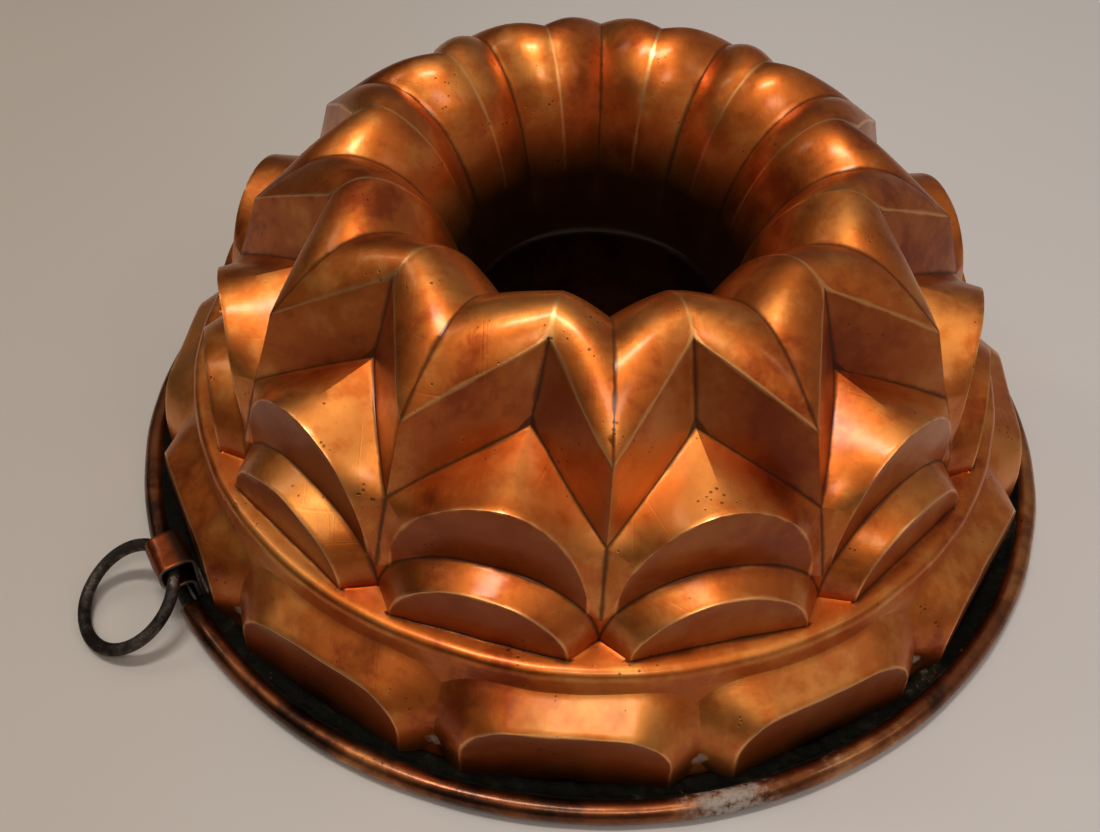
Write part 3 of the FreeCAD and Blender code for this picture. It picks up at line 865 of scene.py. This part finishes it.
    def scale_outline(self) -> Array:
        """Half ellipse of a scale's face, one point for each point of its root."""
        root = self.scale_root()
        reach = root[:, 1] / root[-1, 1]
        angle = np.arccos(np.clip(reach, 0.0, 1.0))
        last = self.drop_steps + 1
        angle[-last:] = angle[-last - 1] * np.linspace(0.7, 0.0, last)
        return local(self.scale_face, self.scale_half_width * np.cos(angle),
                     self.ledge_height + self.scale_rise * np.sin(angle))

    def ledge_steps(self) -> int:
        """Number of steps along half a sector of the ledge."""
        return self.width + self.lower_steps + self.side_steps + self.drop_steps + self.scale_rows


@dataclass
class LowerPanel:
    """Sizes of a lower panel, and its curves in its own sector's frame."""

    face: float = 110.7
    lean: float = 0.03
    half_width: float = 22.4
    top: float = 20.4
    corner: tuple[float, float] = (10.5, 10.5)
    root: float = 99.5
    root_half_width: float = 35.3
    root_top: float = 26.4
    root_corner: tuple[float, float] = (23.2, 19.0)
    side_steps: int = 300
    corner_steps: int = 600
    flat_steps: int = 300
    rows: int = 6

    def half(self, half_width: float, top: float, corner: tuple[float, float],
             floor: float) -> Array:
        """Half outline from the foot up to the middle of the top, as (across, height)."""
        spring, flat = top - corner[1], half_width - corner[0]
        rise = np.linspace(floor, spring, self.side_steps + 1)[:-1]
        upright = np.stack([np.full_like(rise, half_width), rise], axis=1)
        angle = np.linspace(0.0, math.pi / 2, self.corner_steps + 1)[:-1]
        bend = np.stack([flat + corner[0] * np.cos(angle), spring + corner[1] * np.sin(angle)], axis=1)
        run = np.linspace(flat, 0.0, self.flat_steps + 1)
        level = np.stack([run, np.full_like(run, top)], axis=1)
        return np.concatenate([upright, bend, level])

    def outlines(self, floor: float, level: float) -> tuple[Array, Array]:
        """Finely spaced outlines of the face and of the root, from foot over the top to foot."""
        made = []
        for half_width, top, corner, distance, lean in (
            (self.half_width, self.top, self.corner, self.face, self.lean),
            (self.root_half_width, self.root_top, self.root_corner, self.root, 0.0),
        ):
            part = self.half(half_width, top, corner, floor)
            whole = np.concatenate([part * [-1.0, 1.0], part[::-1][1:]])
            made.append(local(distance - lean * (whole[:, 1] - level), whole[:, 0], whole[:, 1]))
        return made[0], made[1]


@dataclass
class PressedBody:
    """The pressed copper body: crown, notches, arches, scales, ledge, skirt and lower panels."""

    pattern: Pattern = field(default_factory=Pattern)
    panel: LowerPanel = field(default_factory=LowerPanel)
    gauge: float = 1.0
    foot_steps: int = 7
    touch_steps: int = 12
    shoulder_steps: int = 8
    shoulder_turn: float = 13.2
    skirt_rows: int = 5
    crest_rows: int = 9

    def half_sector(self) -> list[tuple[Array, float, float]]:
        """Grids of half a ridge's sector, each with its painted shade marks on one side and the other."""
        shape = self.pattern
        across = np.linspace(0.0, 1.0, shape.width + 1)
        shares = shape.strip_shares()
        strip = shape.strip(shares, across)
        crease = shape.crease(across)
        prow, gusset = shape.at_valley(shape.prow), shape.at_valley(shape.gusset)
        upper = shape.arch(across * shape.arc_split)
        low = np.linspace(0.0, 1.0, shape.lower_steps + 1)
        lower = shape.arch(shape.arc_split + low * (1 - shape.arc_split))
        barrel = np.linspace(0.0, 1.0, shape.barrel_rows + 1)
        line = prow + low[:, None] * (gusset - prow)
        side = gusset + barrel[:, None] * (lower[-1] - gusset)
        root, outline = shape.scale_root(), shape.scale_outline()
        face_end = shape.width + shape.lower_steps
        side_end = face_end + shape.side_steps
        arc = np.concatenate([upper, lower[1:]])
        fine = np.linspace(0.0, 1.0, 7)
        base = outline.copy()
        base[:, 2] = shape.ledge_height
        shares_in = np.linspace(0.0, 1.0, shape.scale_rows + 1)
        barrel_foot = outline[-1] + shares_in[:, None] * (root[-1] - outline[-1])
        inner = np.concatenate([base, barrel_foot[1:]])
        rim = self.ring_points(inner.shape[0] - 1, shape.crest_start, shape.ledge_height)
        return [
            (strip, 0.0, 0.0),
            (ruled(strip[-1], crease, np.linspace(0.0, 1.0, shape.kite_rows + 1)), 0.75, 0.1),
            (ruled(crease, upper, barrel), 0.0, 0.0),
            (ruled(line, lower, barrel), 0.0, 0.0),
            (ruled(side[::-1], root[face_end : side_end + 1], fine), 0.5, 0.5),
            (ruled(arc, root[: face_end + 1], fine), 1.0, 1.0),
            (ruled(outline, root, shares_in), 0.0, 0.0),
            (ruled(outline, base, np.linspace(0.0, 1.0, 6)), 1.0, 1.0),
            (ruled(inner, rim, np.linspace(0.0, 1.0, 4)), 0.0, 0.0),
        ]

    @staticmethod
    def ring_points(steps: int, radius: float, height: float) -> Array:
        """Points of half a sector of a level circle, in the sector's own frame."""
        turn = np.radians(np.linspace(0.0, HALF, steps + 1))
        return local(radius * np.cos(turn), radius * np.sin(turn), height)

    def wall_radius(self, height: Array | float) -> Array | float:
        """Radius of the plain wall at a height: a cone that turns upright under the crest."""
        shape = self.pattern
        return np.interp(height, (shape.foot_level, shape.skirt_height, shape.ledge_height),
                         (shape.foot_radius, shape.skirt_radius, shape.crest_radius))

    def crest(self) -> Array:
        """Rounded crest of the ledge: a profile turned about the axis."""
        shape = self.pattern
        steps = self.pattern.ledge_steps() * 2 * RIDGES
        share = np.linspace(0.0, 1.0, self.crest_rows + 1)
        start = np.array([shape.crest_start, shape.ledge_height])
        corner = np.array([shape.crest_radius + 0.2, shape.ledge_height])
        end = np.array([self.wall_radius(shape.skirt_top), shape.skirt_top])
        profile = conic(start, corner, end, share)
        azimuth = np.linspace(0.0, 360.0, steps + 1)
        return polar(profile[:, :1], azimuth[None], profile[:, 1:])

    def panel_turn(self) -> float:
        """Azimuth of the first panel: eight steps of the ledge before the valley."""
        return -8.0 * HALF / self.pattern.ledge_steps()

    def panel_lines(self) -> tuple[Array, Array, Array, int]:
        """Face outline, root line and border heights of a panel, in matching columns.

        The root line is where the ruled barrel passes through the wall's cone or, where the
        neighbour comes first, through the plane between the two; its place along each ruling is
        found by halving. Columns run from the foot up to that plane, along it, round the
        shoulder and over the top at even azimuths, and down the other side alike.

        Returns:
            Face points, root points, heights on the sector's border, and the number of columns
            on each side before the top.
        """
        shape = self.pattern
        face, root = self.panel.outlines(shape.wall_end, shape.foot_level)
        low, high = np.zeros(len(face)), np.ones(len(face))
        slope = math.tan(math.radians(HALF))
        for _ in range(40):
            middle = (low + high) / 2.0
            spot = face + middle[:, None] * (root - face)
            proud = np.hypot(spot[:, 0], spot[:, 1]) > self.wall_radius(spot[:, 2])
            outside = proud & (np.abs(spot[:, 1]) < slope * spot[:, 0])
            low, high = np.where(outside, middle, low), np.where(outside, high, middle)
        edge = face + low[:, None] * (root - face)
        half = len(edge) // 2
        touch = np.flatnonzero(np.abs(edge[:half, 1]) > slope * edge[:half, 0] - 1e-6)
        first, last = touch[0], touch[-1]
        azimuth = np.degrees(np.arctan2(edge[:half + 1, 1], edge[:half + 1, 0]))
        even = np.linspace(-self.shoulder_turn, 0.0, shape.ledge_steps() + 1)
        over = last + np.interp(even, azimuth[last:], np.arange(half + 1 - last))
        picks = np.concatenate([
            np.linspace(0, first, self.foot_steps + 1)[:-1],
            np.linspace(first, last, self.touch_steps + 1)[:-1],
            np.linspace(last, over[0], self.shoulder_steps + 1)[:-1], over]).astype(int)
        picks = np.concatenate([picks, 2 * half - picks[::-1][1:]])
        sides = self.foot_steps + self.touch_steps + self.shoulder_steps
        start = self.foot_steps + self.touch_steps
        rise = np.concatenate([
            np.linspace(shape.wall_end, edge[first, 2], self.foot_steps + 1)[:-1],
            edge[picks[self.foot_steps : start], 2],
            np.linspace(edge[last, 2], shape.skirt_top, self.shoulder_steps + 1)])
        flat = np.full(2 * shape.ledge_steps() - 1, shape.skirt_top)
        return face[picks], edge[picks], np.concatenate([rise, flat, rise[::-1]]), sides

    def panel_sector(self) -> tuple[Array, Array, Array]:
        """Skirt round a panel, the panel's barrel and its face, in the panel's own frame.

        The skirt spans from the root line to the sector's border, with both taken as (azimuth,
        height) on the cone; it has no width where two panels touch.
        """
        shape, panel = self.pattern, self.panel
        face, edge, height, sides = self.panel_lines()
        edge_turn = np.degrees(np.arctan2(edge[:, 1], edge[:, 0]))
        turn = np.concatenate([np.full(sides, -HALF), np.linspace(-HALF, HALF, len(edge) - 2 * sides),
                               np.full(sides, HALF)])
        share = np.linspace(0.0, 1.0, self.skirt_rows + 1)[:, None]
        grid_turn = np.radians(edge_turn + share * (turn - edge_turn))
        grid_height = edge[:, 2] + share * (height - edge[:, 2])
        radius = self.wall_radius(grid_height)
        skirt = local(radius * np.cos(grid_turn), radius * np.sin(grid_turn), grid_height)
        touching = slice(self.foot_steps, self.foot_steps + self.touch_steps + 1)
        skirt[:, touching] = edge[touching]
        skirt[:, ::-1][:, touching] = edge[::-1][touching]
        skirt[0] = edge
        barrel = ruled(face, edge, np.linspace(0.0, 1.0, panel.rows + 1))
        centre = local(panel.face, 0.0, shape.wall_end)
        shares = np.array([1.0, 0.95, 0.84, 0.6, 0.3, 0.0])
        plate = centre + shares[:, None, None] * (face - centre)[None]
        return skirt, barrel, plate

    def creases(self) -> tuple[Array, Array]:
        """Points along the raised edges and along the hollows of the whole pattern."""
        shape = self.pattern
        fine = np.linspace(0.0, 1.0, 41)
        shares = shape.strip_shares()[14:]
        arc = shape.arch(fine)
        outline = shape.scale_outline()
        strip = shape.strip(shares, np.array([0.0, 1.0]))
        zigzag = shape.strip(np.ones(1), fine)[0]
        prow, gusset = shape.at_valley(shape.prow), shape.at_valley(shape.gusset)
        line = prow + fine[:, None] * (gusset - prow)
        base = outline.copy()
        base[:, 2] = shape.ledge_height
        foot = strip[-1, 0] + fine[:, None] * (shape.crease(fine[:1])[0] - strip[-1, 0])
        raised_half = [zigzag, arc, outline, strip[:, 0]]
        hollow_half = [strip[:, 1], shape.crease(fine), line, shape.scale_root(), base, foot]
        raised, hollow = [], []
        for number in range(RIDGES):
            for source, target in ((raised_half, raised), (hollow_half, hollow)):
                for curve in source:
                    for part in (curve, mirrored(curve)):
                        target.append(turned(part, HALF + number * STEP))
            face = self.panel_lines()[0]
            raised.append(turned(face, number * STEP + self.panel_turn()))
        azimuth = np.linspace(0, 360, 900)
        raised.append(polar(shape.crest_radius, azimuth, shape.ledge_height))
        hollow.append(polar(shape.foot_radius + 0.8, azimuth, shape.foot_level))
        return np.concatenate(raised), np.concatenate(hollow)

    def residue(self, points: Array) -> Array:
        """Pale chalky residue: strong at the foot of the creases where two panels touch.

        A spot's strength falls off with the distance from it, over a few millimetres.
        """
        shape = self.pattern
        turns = self.panel_turn() + HALF + np.arange(RIDGES) * STEP
        low = polar(self.wall_radius(8.0) + 0.4, turns, 8.0)
        high = polar(self.wall_radius(19.0) + 0.4, turns, 19.0)
        notch = polar(shape.gusset[0] + 1.5, np.arange(RIDGES) * STEP, shape.ledge_height + 0.5)
        strength = np.clip(1.0 - nearest(points, low) / 3.4, 0.0, 1.0)
        strength = np.maximum(strength, 0.55 * np.clip(1.0 - nearest(points, high) / 2.4, 0.0, 1.0))
        return np.maximum(strength, 0.7 * np.clip(1.0 - nearest(points, notch) / 2.0, 0.0, 1.0))

    def hand_worked(self, points: Array) -> Array:
        """Small unevenness of handwork: the pattern drifts in azimuth, and the sheet is dented.

        The drift is a sum of slow waves round the mould, larger on the crown than at the foot,
        and one ridge stands off its place by a few degrees. Behind the tube each strip of the
        crown swells a little more, as the sine of the azimuth between its edges.
        """
        radius = np.hypot(points[:, 0], points[:, 1])
        azimuth = np.degrees(np.arctan2(points[:, 0], -points[:, 1]))
        height = points[:, 2]
        loose = np.clip((height - 20.0) / 50.0, 0.0, 1.0) * np.clip((radius - 34.0) / 20.0, 0.0, 1.0)
        drift = 0.35 * waves(polar(60.0, azimuth, 0.0), 150.0, 5)
        bent = 3.6 * np.exp(-((azimuth + HALF) / 10.0) ** 2) * np.clip((height - 48.0) / 38.0, 0.0, 1.0)
        dent = 0.16 * waves(points, 46.0, 11) + 0.07 * waves(points, 17.0, 23)
        lift = -np.abs(0.25 * waves(polar(60.0, azimuth, 0.0), 90.0, 31)) * loose
        behind = np.clip(0.2 - 1.5 * np.cos(np.radians(azimuth)), 0.0, 1.0)
        crown = np.clip((height - 72.0) / 8.0, 0.0, 1.0)
        lift = lift + 1.3 * np.abs(np.sin(np.radians(azimuth) * RIDGES)) * behind * crown
        shrink = np.clip((height - 6.0) / 12.0, 0.0, 1.0)
        shrink = shrink * np.clip((radius - self.pattern.tube_radius - 0.5) / 8.0, 0.0, 1.0)
        return polar(radius + dent * shrink, azimuth + drift * loose + bent, height + lift)

    def build(self, finishes: Finishes) -> bpy.types.Object:
        """Builds the skin, gives it its thickness and dresses it.

        Args:
            finishes: the materials.

        Returns:
            The finished piece.
        """
        skin = Skin()
        for number in range(RIDGES):
            # Painted side shade: flat faces on the left take more of the dark facet tone than those on
            # the right.
            side_shade = 0.78 - 0.22 * math.sin(math.radians(HALF + number * STEP))
            for grid, mark, other in self.half_sector():
                skin.add(turned(grid, HALF + number * STEP), mark * side_shade)
                skin.add(turned(mirrored(grid), HALF + number * STEP), other * side_shade)
            skirt, barrel, plate = self.panel_sector()
            # Painted shade marks: the skirt a little, the barrel none, the flat panel plate fully.
            for grid, mark in ((skirt, 0.15), (barrel, 0.0), (plate, 1.0)):
                skin.add(turned(grid, number * STEP + self.panel_turn()), mark)
        skin.add(self.crest())
        mesh = skin.mesh("pressed_body", 0.02, np.array([74.0, 30.0]))
        points = points_of(mesh)
        raised, hollow = self.creases()
        store(mesh, "edge_distance", nearest(points, raised))
        store(mesh, "groove_distance", nearest(points, hollow))
        radius = np.hypot(points[:, 0], points[:, 1])
        # Painted shade: inside radius 48 the throat darkens below height 74, to full at height 58.
        store(mesh, "shade_and_grime", np.clip((74.0 - points[:, 2]) / 16.0, 0.0, 1.0) * (radius < 48.0))
        store(mesh, "residue", self.residue(points))
        move_points(mesh, self.hand_worked(points))
        piece = place(mesh, "pressed_body")
        dress(piece, finishes.copper, finishes.tin)
        round_edges(piece, 0.42, 20.0)
        thicken(piece, self.gauge, inside=1)
        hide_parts("body_shell")
        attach(piece, Body.MOULD.value)
        LOG.info("pressed body: %d faces before its thickness", len(mesh.polygons))
        return piece


# ---------------------------------------------------------------- rim


def swept_ring(radius: Array, section: Array, azimuth: Array) -> Array:
    """Closed section carried round the axis.

    Args:
        radius: added to the section's radius at each azimuth.
        section: closed loop of (radius, height) points, first point repeated at the end.
        azimuth: degrees.

    Returns:
        Grid of azimuths by section points.
    """
    return polar(section[None, :, 0] + radius[:, None], azimuth[:, None], section[None, :, 1])


@dataclass
class Rim:
    """The rolled bead with its leaf, its iron wire and the crust in the groove."""

    circle: float = 117.3
    bead: float = 2.7
    gap_centre: float = -58.3
    gap_angle: float = 8.0
    leaf: tuple[float, float] = (110.0, 115.4)

    def azimuths(self, steps: int) -> Array:
        """Azimuths all round, from one side of the gap to the other."""
        start = self.gap_centre + self.gap_angle / 2.0
        return start + np.linspace(0.0, 360.0 - self.gap_angle, steps + 1)

    def build_band(self, finishes: Finishes) -> None:
        """Bead: a hollow circle carried round, its radius a little uneven; leaf: a flat strip."""
        azimuth = self.azimuths(720)
        turn = np.linspace(0.0, 2 * math.pi, 33)
        middle = polar(self.circle, azimuth, 0.0)
        wander = waves(middle, 70.0, 3)
        slim = 0.10 * (1.0 + waves(middle, 24.0, 7)) * 0.5 + 0.05
        radius = self.bead - slim[:, None] - 0.05 * np.abs(np.sin(turn * 3.0))[None]
        around = self.circle - 0.12 - 0.10 * wander[:, None] + radius * np.cos(turn)[None]
        height = self.bead + radius * np.sin(turn)[None]
        height = height - height.min(axis=1)[:, None]
        skin = Skin()
        skin.add(polar(around, azimuth[:, None], height))
        mesh = skin.mesh("rolled_bead", 0.01, np.array([self.circle, self.bead]))
        points = points_of(mesh)
        # Grime and painted shade on the bead's inner top, beside the groove.
        store(mesh, "groove_distance", np.hypot(
            np.hypot(points[:, 0], points[:, 1]) - 114.9, points[:, 2] - 3.6) * 0.8)
        store(mesh, "edge_distance", 1.6 + 2.4 * np.abs(waves(points, 60.0, 41)))
        along = np.degrees(np.arctan2(points[:, 0], -points[:, 1]))
        patches = np.exp(-((along - 14.0) / 7.0) ** 2) + 0.6 * np.exp(-((along - 27.0) / 4.0) ** 2)
        store(mesh, "residue", patches * np.clip((points[:, 2] - 0.4) / 1.2, 0.0, 1.0) * 0.62)
        bead = place(mesh, "rolled_bead")
        dress(bead, finishes.band)
        thicken(bead, 0.8)
        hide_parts("rim_band")
        inner, outer = self.leaf
        section = np.array([(inner, 1.2), (inner, 2.2), (outer, 2.2), (outer, 1.2), (inner, 1.2)])
        skin = Skin()
        ring = swept_ring(np.zeros(len(azimuth)), section, azimuth)
        skin.add(ring)
        for end in (ring[0], ring[-1]):
            skin.add(np.stack([end[[0, 3]], end[[1, 2]]]))
        leaf_mesh = skin.mesh("band_leaf", 0.01)
        store(leaf_mesh, "groove_distance", np.full(len(leaf_mesh.vertices), 2.0))
        store(leaf_mesh, "edge_distance", np.full(len(leaf_mesh.vertices), 3.0))
        leaf = place(leaf_mesh, "band_leaf")
        crease_shading(leaf, 40.0)
        dress(leaf, finishes.band)
        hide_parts("rim_band")
        for piece in (bead, leaf):
            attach(piece, Body.MOULD.value)
        LOG.info("rim band: %d faces", len(mesh.polygons))

    def build_crust(self, finishes: Finishes) -> None:
        """Solder and crust in the groove: a low closed section whose top is lumpy."""
        azimuth = np.linspace(0.0, 360.0, 901)
        base = np.array([(110.2, 2.4), (110.6, 3.4), (111.6, 3.75), (112.6, 3.55), (113.6, 3.45),
                         (114.4, 3.6), (115.0, 3.9), (115.2, 3.4), (114.4, 2.3), (112.0, 2.25),
                         (110.2, 2.4)])
        grid = swept_ring(np.zeros(len(azimuth)), base, azimuth)
        flat = grid.reshape(-1, 3)
        lump = 0.22 * waves(flat, 9.0, 51) + 0.24 * waves(flat, 3.2, 57) + 0.15 * waves(flat, 40.0, 61)
        top = np.clip((flat[:, 2] - 3.3) / 0.3, 0.0, 1.0)
        flat = flat + np.stack([0 * lump, 0 * lump, lump * top], axis=1)
        skin = Skin()
        skin.add(flat.reshape(grid.shape))
        mesh = skin.mesh("groove_crust", 0.005, np.array([112.7, 2.8]))
        crust = place(mesh, "groove_crust")
        dress(crust, finishes.groove)
        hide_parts("rim_solder")
        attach(crust, Body.MOULD.value)
        LOG.info("groove crust: %d faces", len(mesh.polygons))

    def build(self, finishes: Finishes) -> None:
        """Builds every piece of the rim."""
        self.build_band(finishes)
        self.build_crust(finishes)


# ---------------------------------------------------------------- hanger


@dataclass
class Hanger:
    """Folded strap, its solder and the hanging ring."""

    azimuth: float = -57.5
    width: float = 10.5
    gauge: float = 0.9
    loop: float = 3.65
    corner: float = 2.2
    pivot: tuple[float, float] = (117.6, 13.9)
    legs: tuple[float, float] = (113.05, 114.0)
    foot: float = 3.65
    ring_radius: float = 12.8
    ring_wire: float = 1.6
    tilt: float = 28.59

    def strap_line(self) -> Array:
        """Middle line of the strap as (out, height): legs, two bends and the loop round the wire.

        The loop is a half circle squared a little, so that its top lies flat.
        """
        (inner, outer), (px, pz) = self.legs, self.pivot
        top, under = pz + self.loop, pz - self.loop
        ease = np.linspace(0.0, 1.0, 7)[:, None]
        turn = np.radians(np.linspace(180.0, 90.0, 9))
        first = np.stack([inner + self.corner + self.corner * np.cos(turn),
                          top - self.corner + self.corner * np.sin(turn)], axis=1)
        turn = np.radians(np.linspace(90.0, -90.0, 21))
        bulge = np.abs(np.cos(turn)) ** 0.8, np.sign(np.sin(turn)) * np.abs(np.sin(turn)) ** 0.6
        loop = np.stack([px + self.loop * bulge[0], pz + self.loop * bulge[1]], axis=1)
        turn = np.radians(np.linspace(90.0, 180.0, 9))
        last = np.stack([outer + self.corner + self.corner * np.cos(turn),
                         under - self.corner + self.corner * np.sin(turn)], axis=1)
        start, end = np.array([[inner, self.foot]]), np.array([[outer, self.foot]])
        return np.concatenate([start + ease * (first[:1] - start), first[1:], loop[0:],
                               last, (last[-1:] + ease[1:] * (end - last[-1:]))])

    def build_strap(self, finishes: Finishes) -> None:
        """Strap: its middle line carried across its width, a little waisted and wavy."""
        line = self.strap_line()
        across = np.linspace(-1.0, 1.0, 13)
        share = np.linspace(0.0, 1.0, len(line))[:, None]
        half = self.width / 2.0 * (1.0 - 0.03 * np.sin(share * 9.0) ** 2)
        sag = 0.10 * np.sin(share * 14.0 + across[None] * 2.0)
        grid = local(line[:, None, 0] + sag * 0.6, half * across[None],
                     line[:, None, 1] + sag * np.clip((line[:, None, 1] - 8.0) / 4.0, 0, 1))
        skin = Skin()
        skin.add(turned(grid, self.azimuth))
        mesh = skin.mesh("hanger_leaf", 0.005)
        points = points_of(mesh)
        radius = np.hypot(points[:, 0], points[:, 1])
        store(mesh, "groove_distance", np.full(len(points), 9.0))
        store(mesh, "edge_distance", np.full(len(points), 2.0) + np.abs(waves(points, 6.0, 71)))
        # Painted shade with grime: the strap darkens inwards of radius 117.4, towards the groove.
        store(mesh, "shade_and_grime", np.clip((117.4 - radius + 0.4 * waves(points, 3.0, 73)) / 1.4, 0.0, 1.0))
        strap = place(mesh, "hanger_leaf")
        dress(strap, finishes.strap, finishes.tin)
        thicken(strap, self.gauge, offset=0.0)
        strap.modifiers["wall"].material_offset_rim = 1
        round_edges(strap, 0.18, 40.0)
        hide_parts("hanger_strap")
        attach(strap, Body.MOULD.value)

    def build_solder(self, finishes: Finishes) -> None:
        """Lump of solder behind the strap's legs: a squared ellipsoid with a wavy skin."""
        up = np.linspace(-math.pi / 2, math.pi / 2, 25)[:, None]
        turn = np.linspace(0.0, 2 * math.pi, 49)[None]

        def square(value: Array) -> Array:
            """Raises to a power below one and keeps the sign."""
            return np.sign(value) * np.abs(value) ** 0.6

        grid = local(112.1 + 0.62 * square(np.cos(up)) * square(np.cos(turn)),
                     6.1 * square(np.cos(up)) * square(np.sin(turn)),
                     4.2 + 1.25 * square(np.sin(up)) + 0.0 * turn)
        lump = 0.12 * waves(grid, 4.0, 81)
        grid[..., 2] += lump
        skin = Skin()
        skin.add(turned(grid, self.azimuth))
        mesh = skin.mesh("solder_lump", 0.005)
        lump_piece = place(mesh, "solder_lump")
        dress(lump_piece, finishes.solder)
        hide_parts("hanger_solder")
        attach(lump_piece, Body.MOULD.value)

    def build_ring(self, finishes: Finishes) -> None:
        """Forged ring: a circle carried round a circle, the wire's radius a little uneven."""
        around = np.linspace(0.0, 2 * math.pi, 145)[:, None]
        turn = np.linspace(0.0, 2 * math.pi, 29)[None]
        circle = self.ring_radius * np.concatenate([np.cos(around), np.sin(around), 0 * around], axis=1)
        wire = self.ring_wire - 0.06 - 0.05 * (1 + waves(circle, 14.0, 91))[:, None] \
            + 0.03 * np.cos(turn * 4.0)
        reach = self.ring_radius + wire * np.cos(turn)
        flat = local(reach * np.cos(around), reach * np.sin(around), wire * np.sin(turn))
        tilt = math.radians(self.tilt)
        out = flat[..., 0] + self.ring_radius
        tipped = local(self.pivot[0] + out * math.cos(tilt) + flat[..., 2] * math.sin(tilt),
                       flat[..., 1],
                       self.pivot[1] - out * math.sin(tilt) + flat[..., 2] * math.cos(tilt))
        skin = Skin()
        skin.add(turned(tipped, self.azimuth))
        mesh = skin.mesh("forged_ring", 0.005)
        ring = place(mesh, "forged_ring")
        dress(ring, finishes.iron)
        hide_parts("hanger_ring")
        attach(ring, Body.RING.value)
        LOG.info("ring: %d faces", len(mesh.polygons))

    def build(self, finishes: Finishes) -> None:
        """Builds every piece of the hanger."""
        self.build_strap(finishes)
        self.build_solder(finishes)
        self.build_ring(finishes)


# ---------------------------------------------------------------- studio


@dataclass
class Studio:
    """Table, lights and camera."""

    camera_m: tuple[float, float, float] = (-0.010920, -0.232880, 0.242076)
    elevation: float = 46.0544
    roll: float = 1.6017
    swing: float = -0.1431
    lens: float = 39.397

    def build_floor(self, finishes: Finishes) -> None:
        """Pale table top under the mould."""
        mesh = bpy.data.meshes.new("table_top")
        reach = 3.0
        corners = [(-reach, -reach, 0), (reach, -reach, 0), (reach, reach, 0), (-reach, reach, 0)]
        mesh.from_pydata(corners, [], [(0, 1, 2, 3)])
        table = place(mesh, "table_top")
        dress(table, finishes.floor)

    @staticmethod
    def light(name: str, spot: Sequence[float], aim: Sequence[float], size: tuple[float, float],
              watts: float, tone: Sequence[float]) -> None:
        """Area light at a spot in metres, turned to its aim."""
        lamp = bpy.data.lights.new(name, "AREA")
        lamp.shape = "RECTANGLE"
        lamp.size, lamp.size_y = size
        lamp.energy = watts
        lamp.color = tone
        holder = bpy.data.objects.new(name, lamp)
        way = Vector(aim) - Vector(spot)
        holder.matrix_world = Matrix.Translation(spot) @ way.to_track_quat("-Z", "Y").to_matrix().to_4x4()
        bpy.context.scene.collection.objects.link(holder)

    def build_lights(self) -> None:
        """Narrow soft light overhead, a fill from the front, weak lamps beside, and a dim room."""
        self.light("overhead", (-0.16, -0.02, 1.25), (0, 0, 0.05), (0.13, 0.42), 4.6,
                   (1.0, 0.95, 0.89))
        self.light("front_fill", (0.10, -0.62, 1.05), (0, 0, 0.05), (0.34, 0.22), 2.0,
                   (1.0, 0.92, 0.84))
        self.light("right_lamp", (0.80, -0.30, 1.0), (0, 0, 0.05), (0.12, 0.30), 0.4,
                   (1.0, 0.93, 0.85))
        self.light("left_lamp", (-0.80, 0.35, 1.0), (0, 0, 0.05), (0.12, 0.30), 0.6,
                   (1.0, 0.93, 0.85))
        world = bpy.data.worlds.new("dim_room")
        world.use_nodes = True
        graph = Graph(world.node_tree)
        shade = next(n for n in world.node_tree.nodes if n.type == "BACKGROUND")
        split = graph.node("ShaderNodeSeparateXYZ")
        graph.feed(split.inputs[0], graph.node("ShaderNodeTexCoord").outputs["Generated"])
        ceiling = graph.step(split.outputs[2], 0.35, 0.95)
        side = graph.step(split.outputs[0], -0.4, 0.9)
        walls = graph.blend(side, (0.055, 0.045, 0.038, 1.0), (0.27, 0.235, 0.21, 1.0))
        graph.feed(shade.inputs["Color"], graph.blend(ceiling, walls, (0.36, 0.33, 0.30, 1.0)))
        shade.inputs["Strength"].default_value = 1.12
        bpy.context.scene.world = world

    @staticmethod
    def build_film() -> None:
        """Plain display of the light with deeper shadows, so that bright copper turns golden."""
        view = bpy.context.scene.view_settings
        view.view_transform = "Standard"
        view.gamma = 0.80

    def build_camera(self) -> None:
        """Camera above the front of the mould, looking down on it."""
        tip = math.radians(self.elevation)
        right = Vector((1.0, 0.0, 0.0))
        back = Vector((0.0, -math.cos(tip), math.sin(tip)))
        upward = back.cross(right)
        roll = math.radians(self.roll)
        rows = (right * math.cos(roll) + upward * math.sin(roll),
                upward * math.cos(roll) - right * math.sin(roll), back)
        turn = Matrix(rows).transposed().to_4x4()
        data = bpy.data.cameras.new("viewpoint")
        data.lens = self.lens
        data.sensor_width = 36.0
        data.sensor_fit = "HORIZONTAL"
        data.clip_start = 0.01
        holder = bpy.data.objects.new("viewpoint", data)
        swing = Matrix.Rotation(math.radians(self.swing), 4, "Z")
        holder.matrix_world = swing @ Matrix.Translation(self.camera_m) @ turn
        bpy.context.scene.collection.objects.link(holder)
        bpy.context.scene.camera = holder

    def build(self, finishes: Finishes) -> None:
        """Builds the whole stage."""
        self.build_floor(finishes)
        self.build_lights()
        self.build_film()
        self.build_camera()


def dress_frame(finishes: Finishes) -> None:
    """Gives the kept nodes of the frame their finishes."""
    for name, material in (("centre_tube", finishes.tube), ("tube_seam", finishes.solder),
                           ("rim_wire", finishes.iron)):
        node = frame["nodes"][name]
        for holder in node.material_slots:
            holder.link = "OBJECT"
            holder.material = material
        if not node.material_slots:
            LOG.warning("%s has no material slot", name)


def main() -> None:
    """Builds the mould and its stage."""
    logging.basicConfig(level=logging.INFO)
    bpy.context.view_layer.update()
    finishes = Finishes.build()
    dress_frame(finishes)
    PressedBody().build(finishes)
    Rim().build(finishes)
    Hanger().build(finishes)
    Studio().build(finishes)


if __name__ == "__main__":
    main()
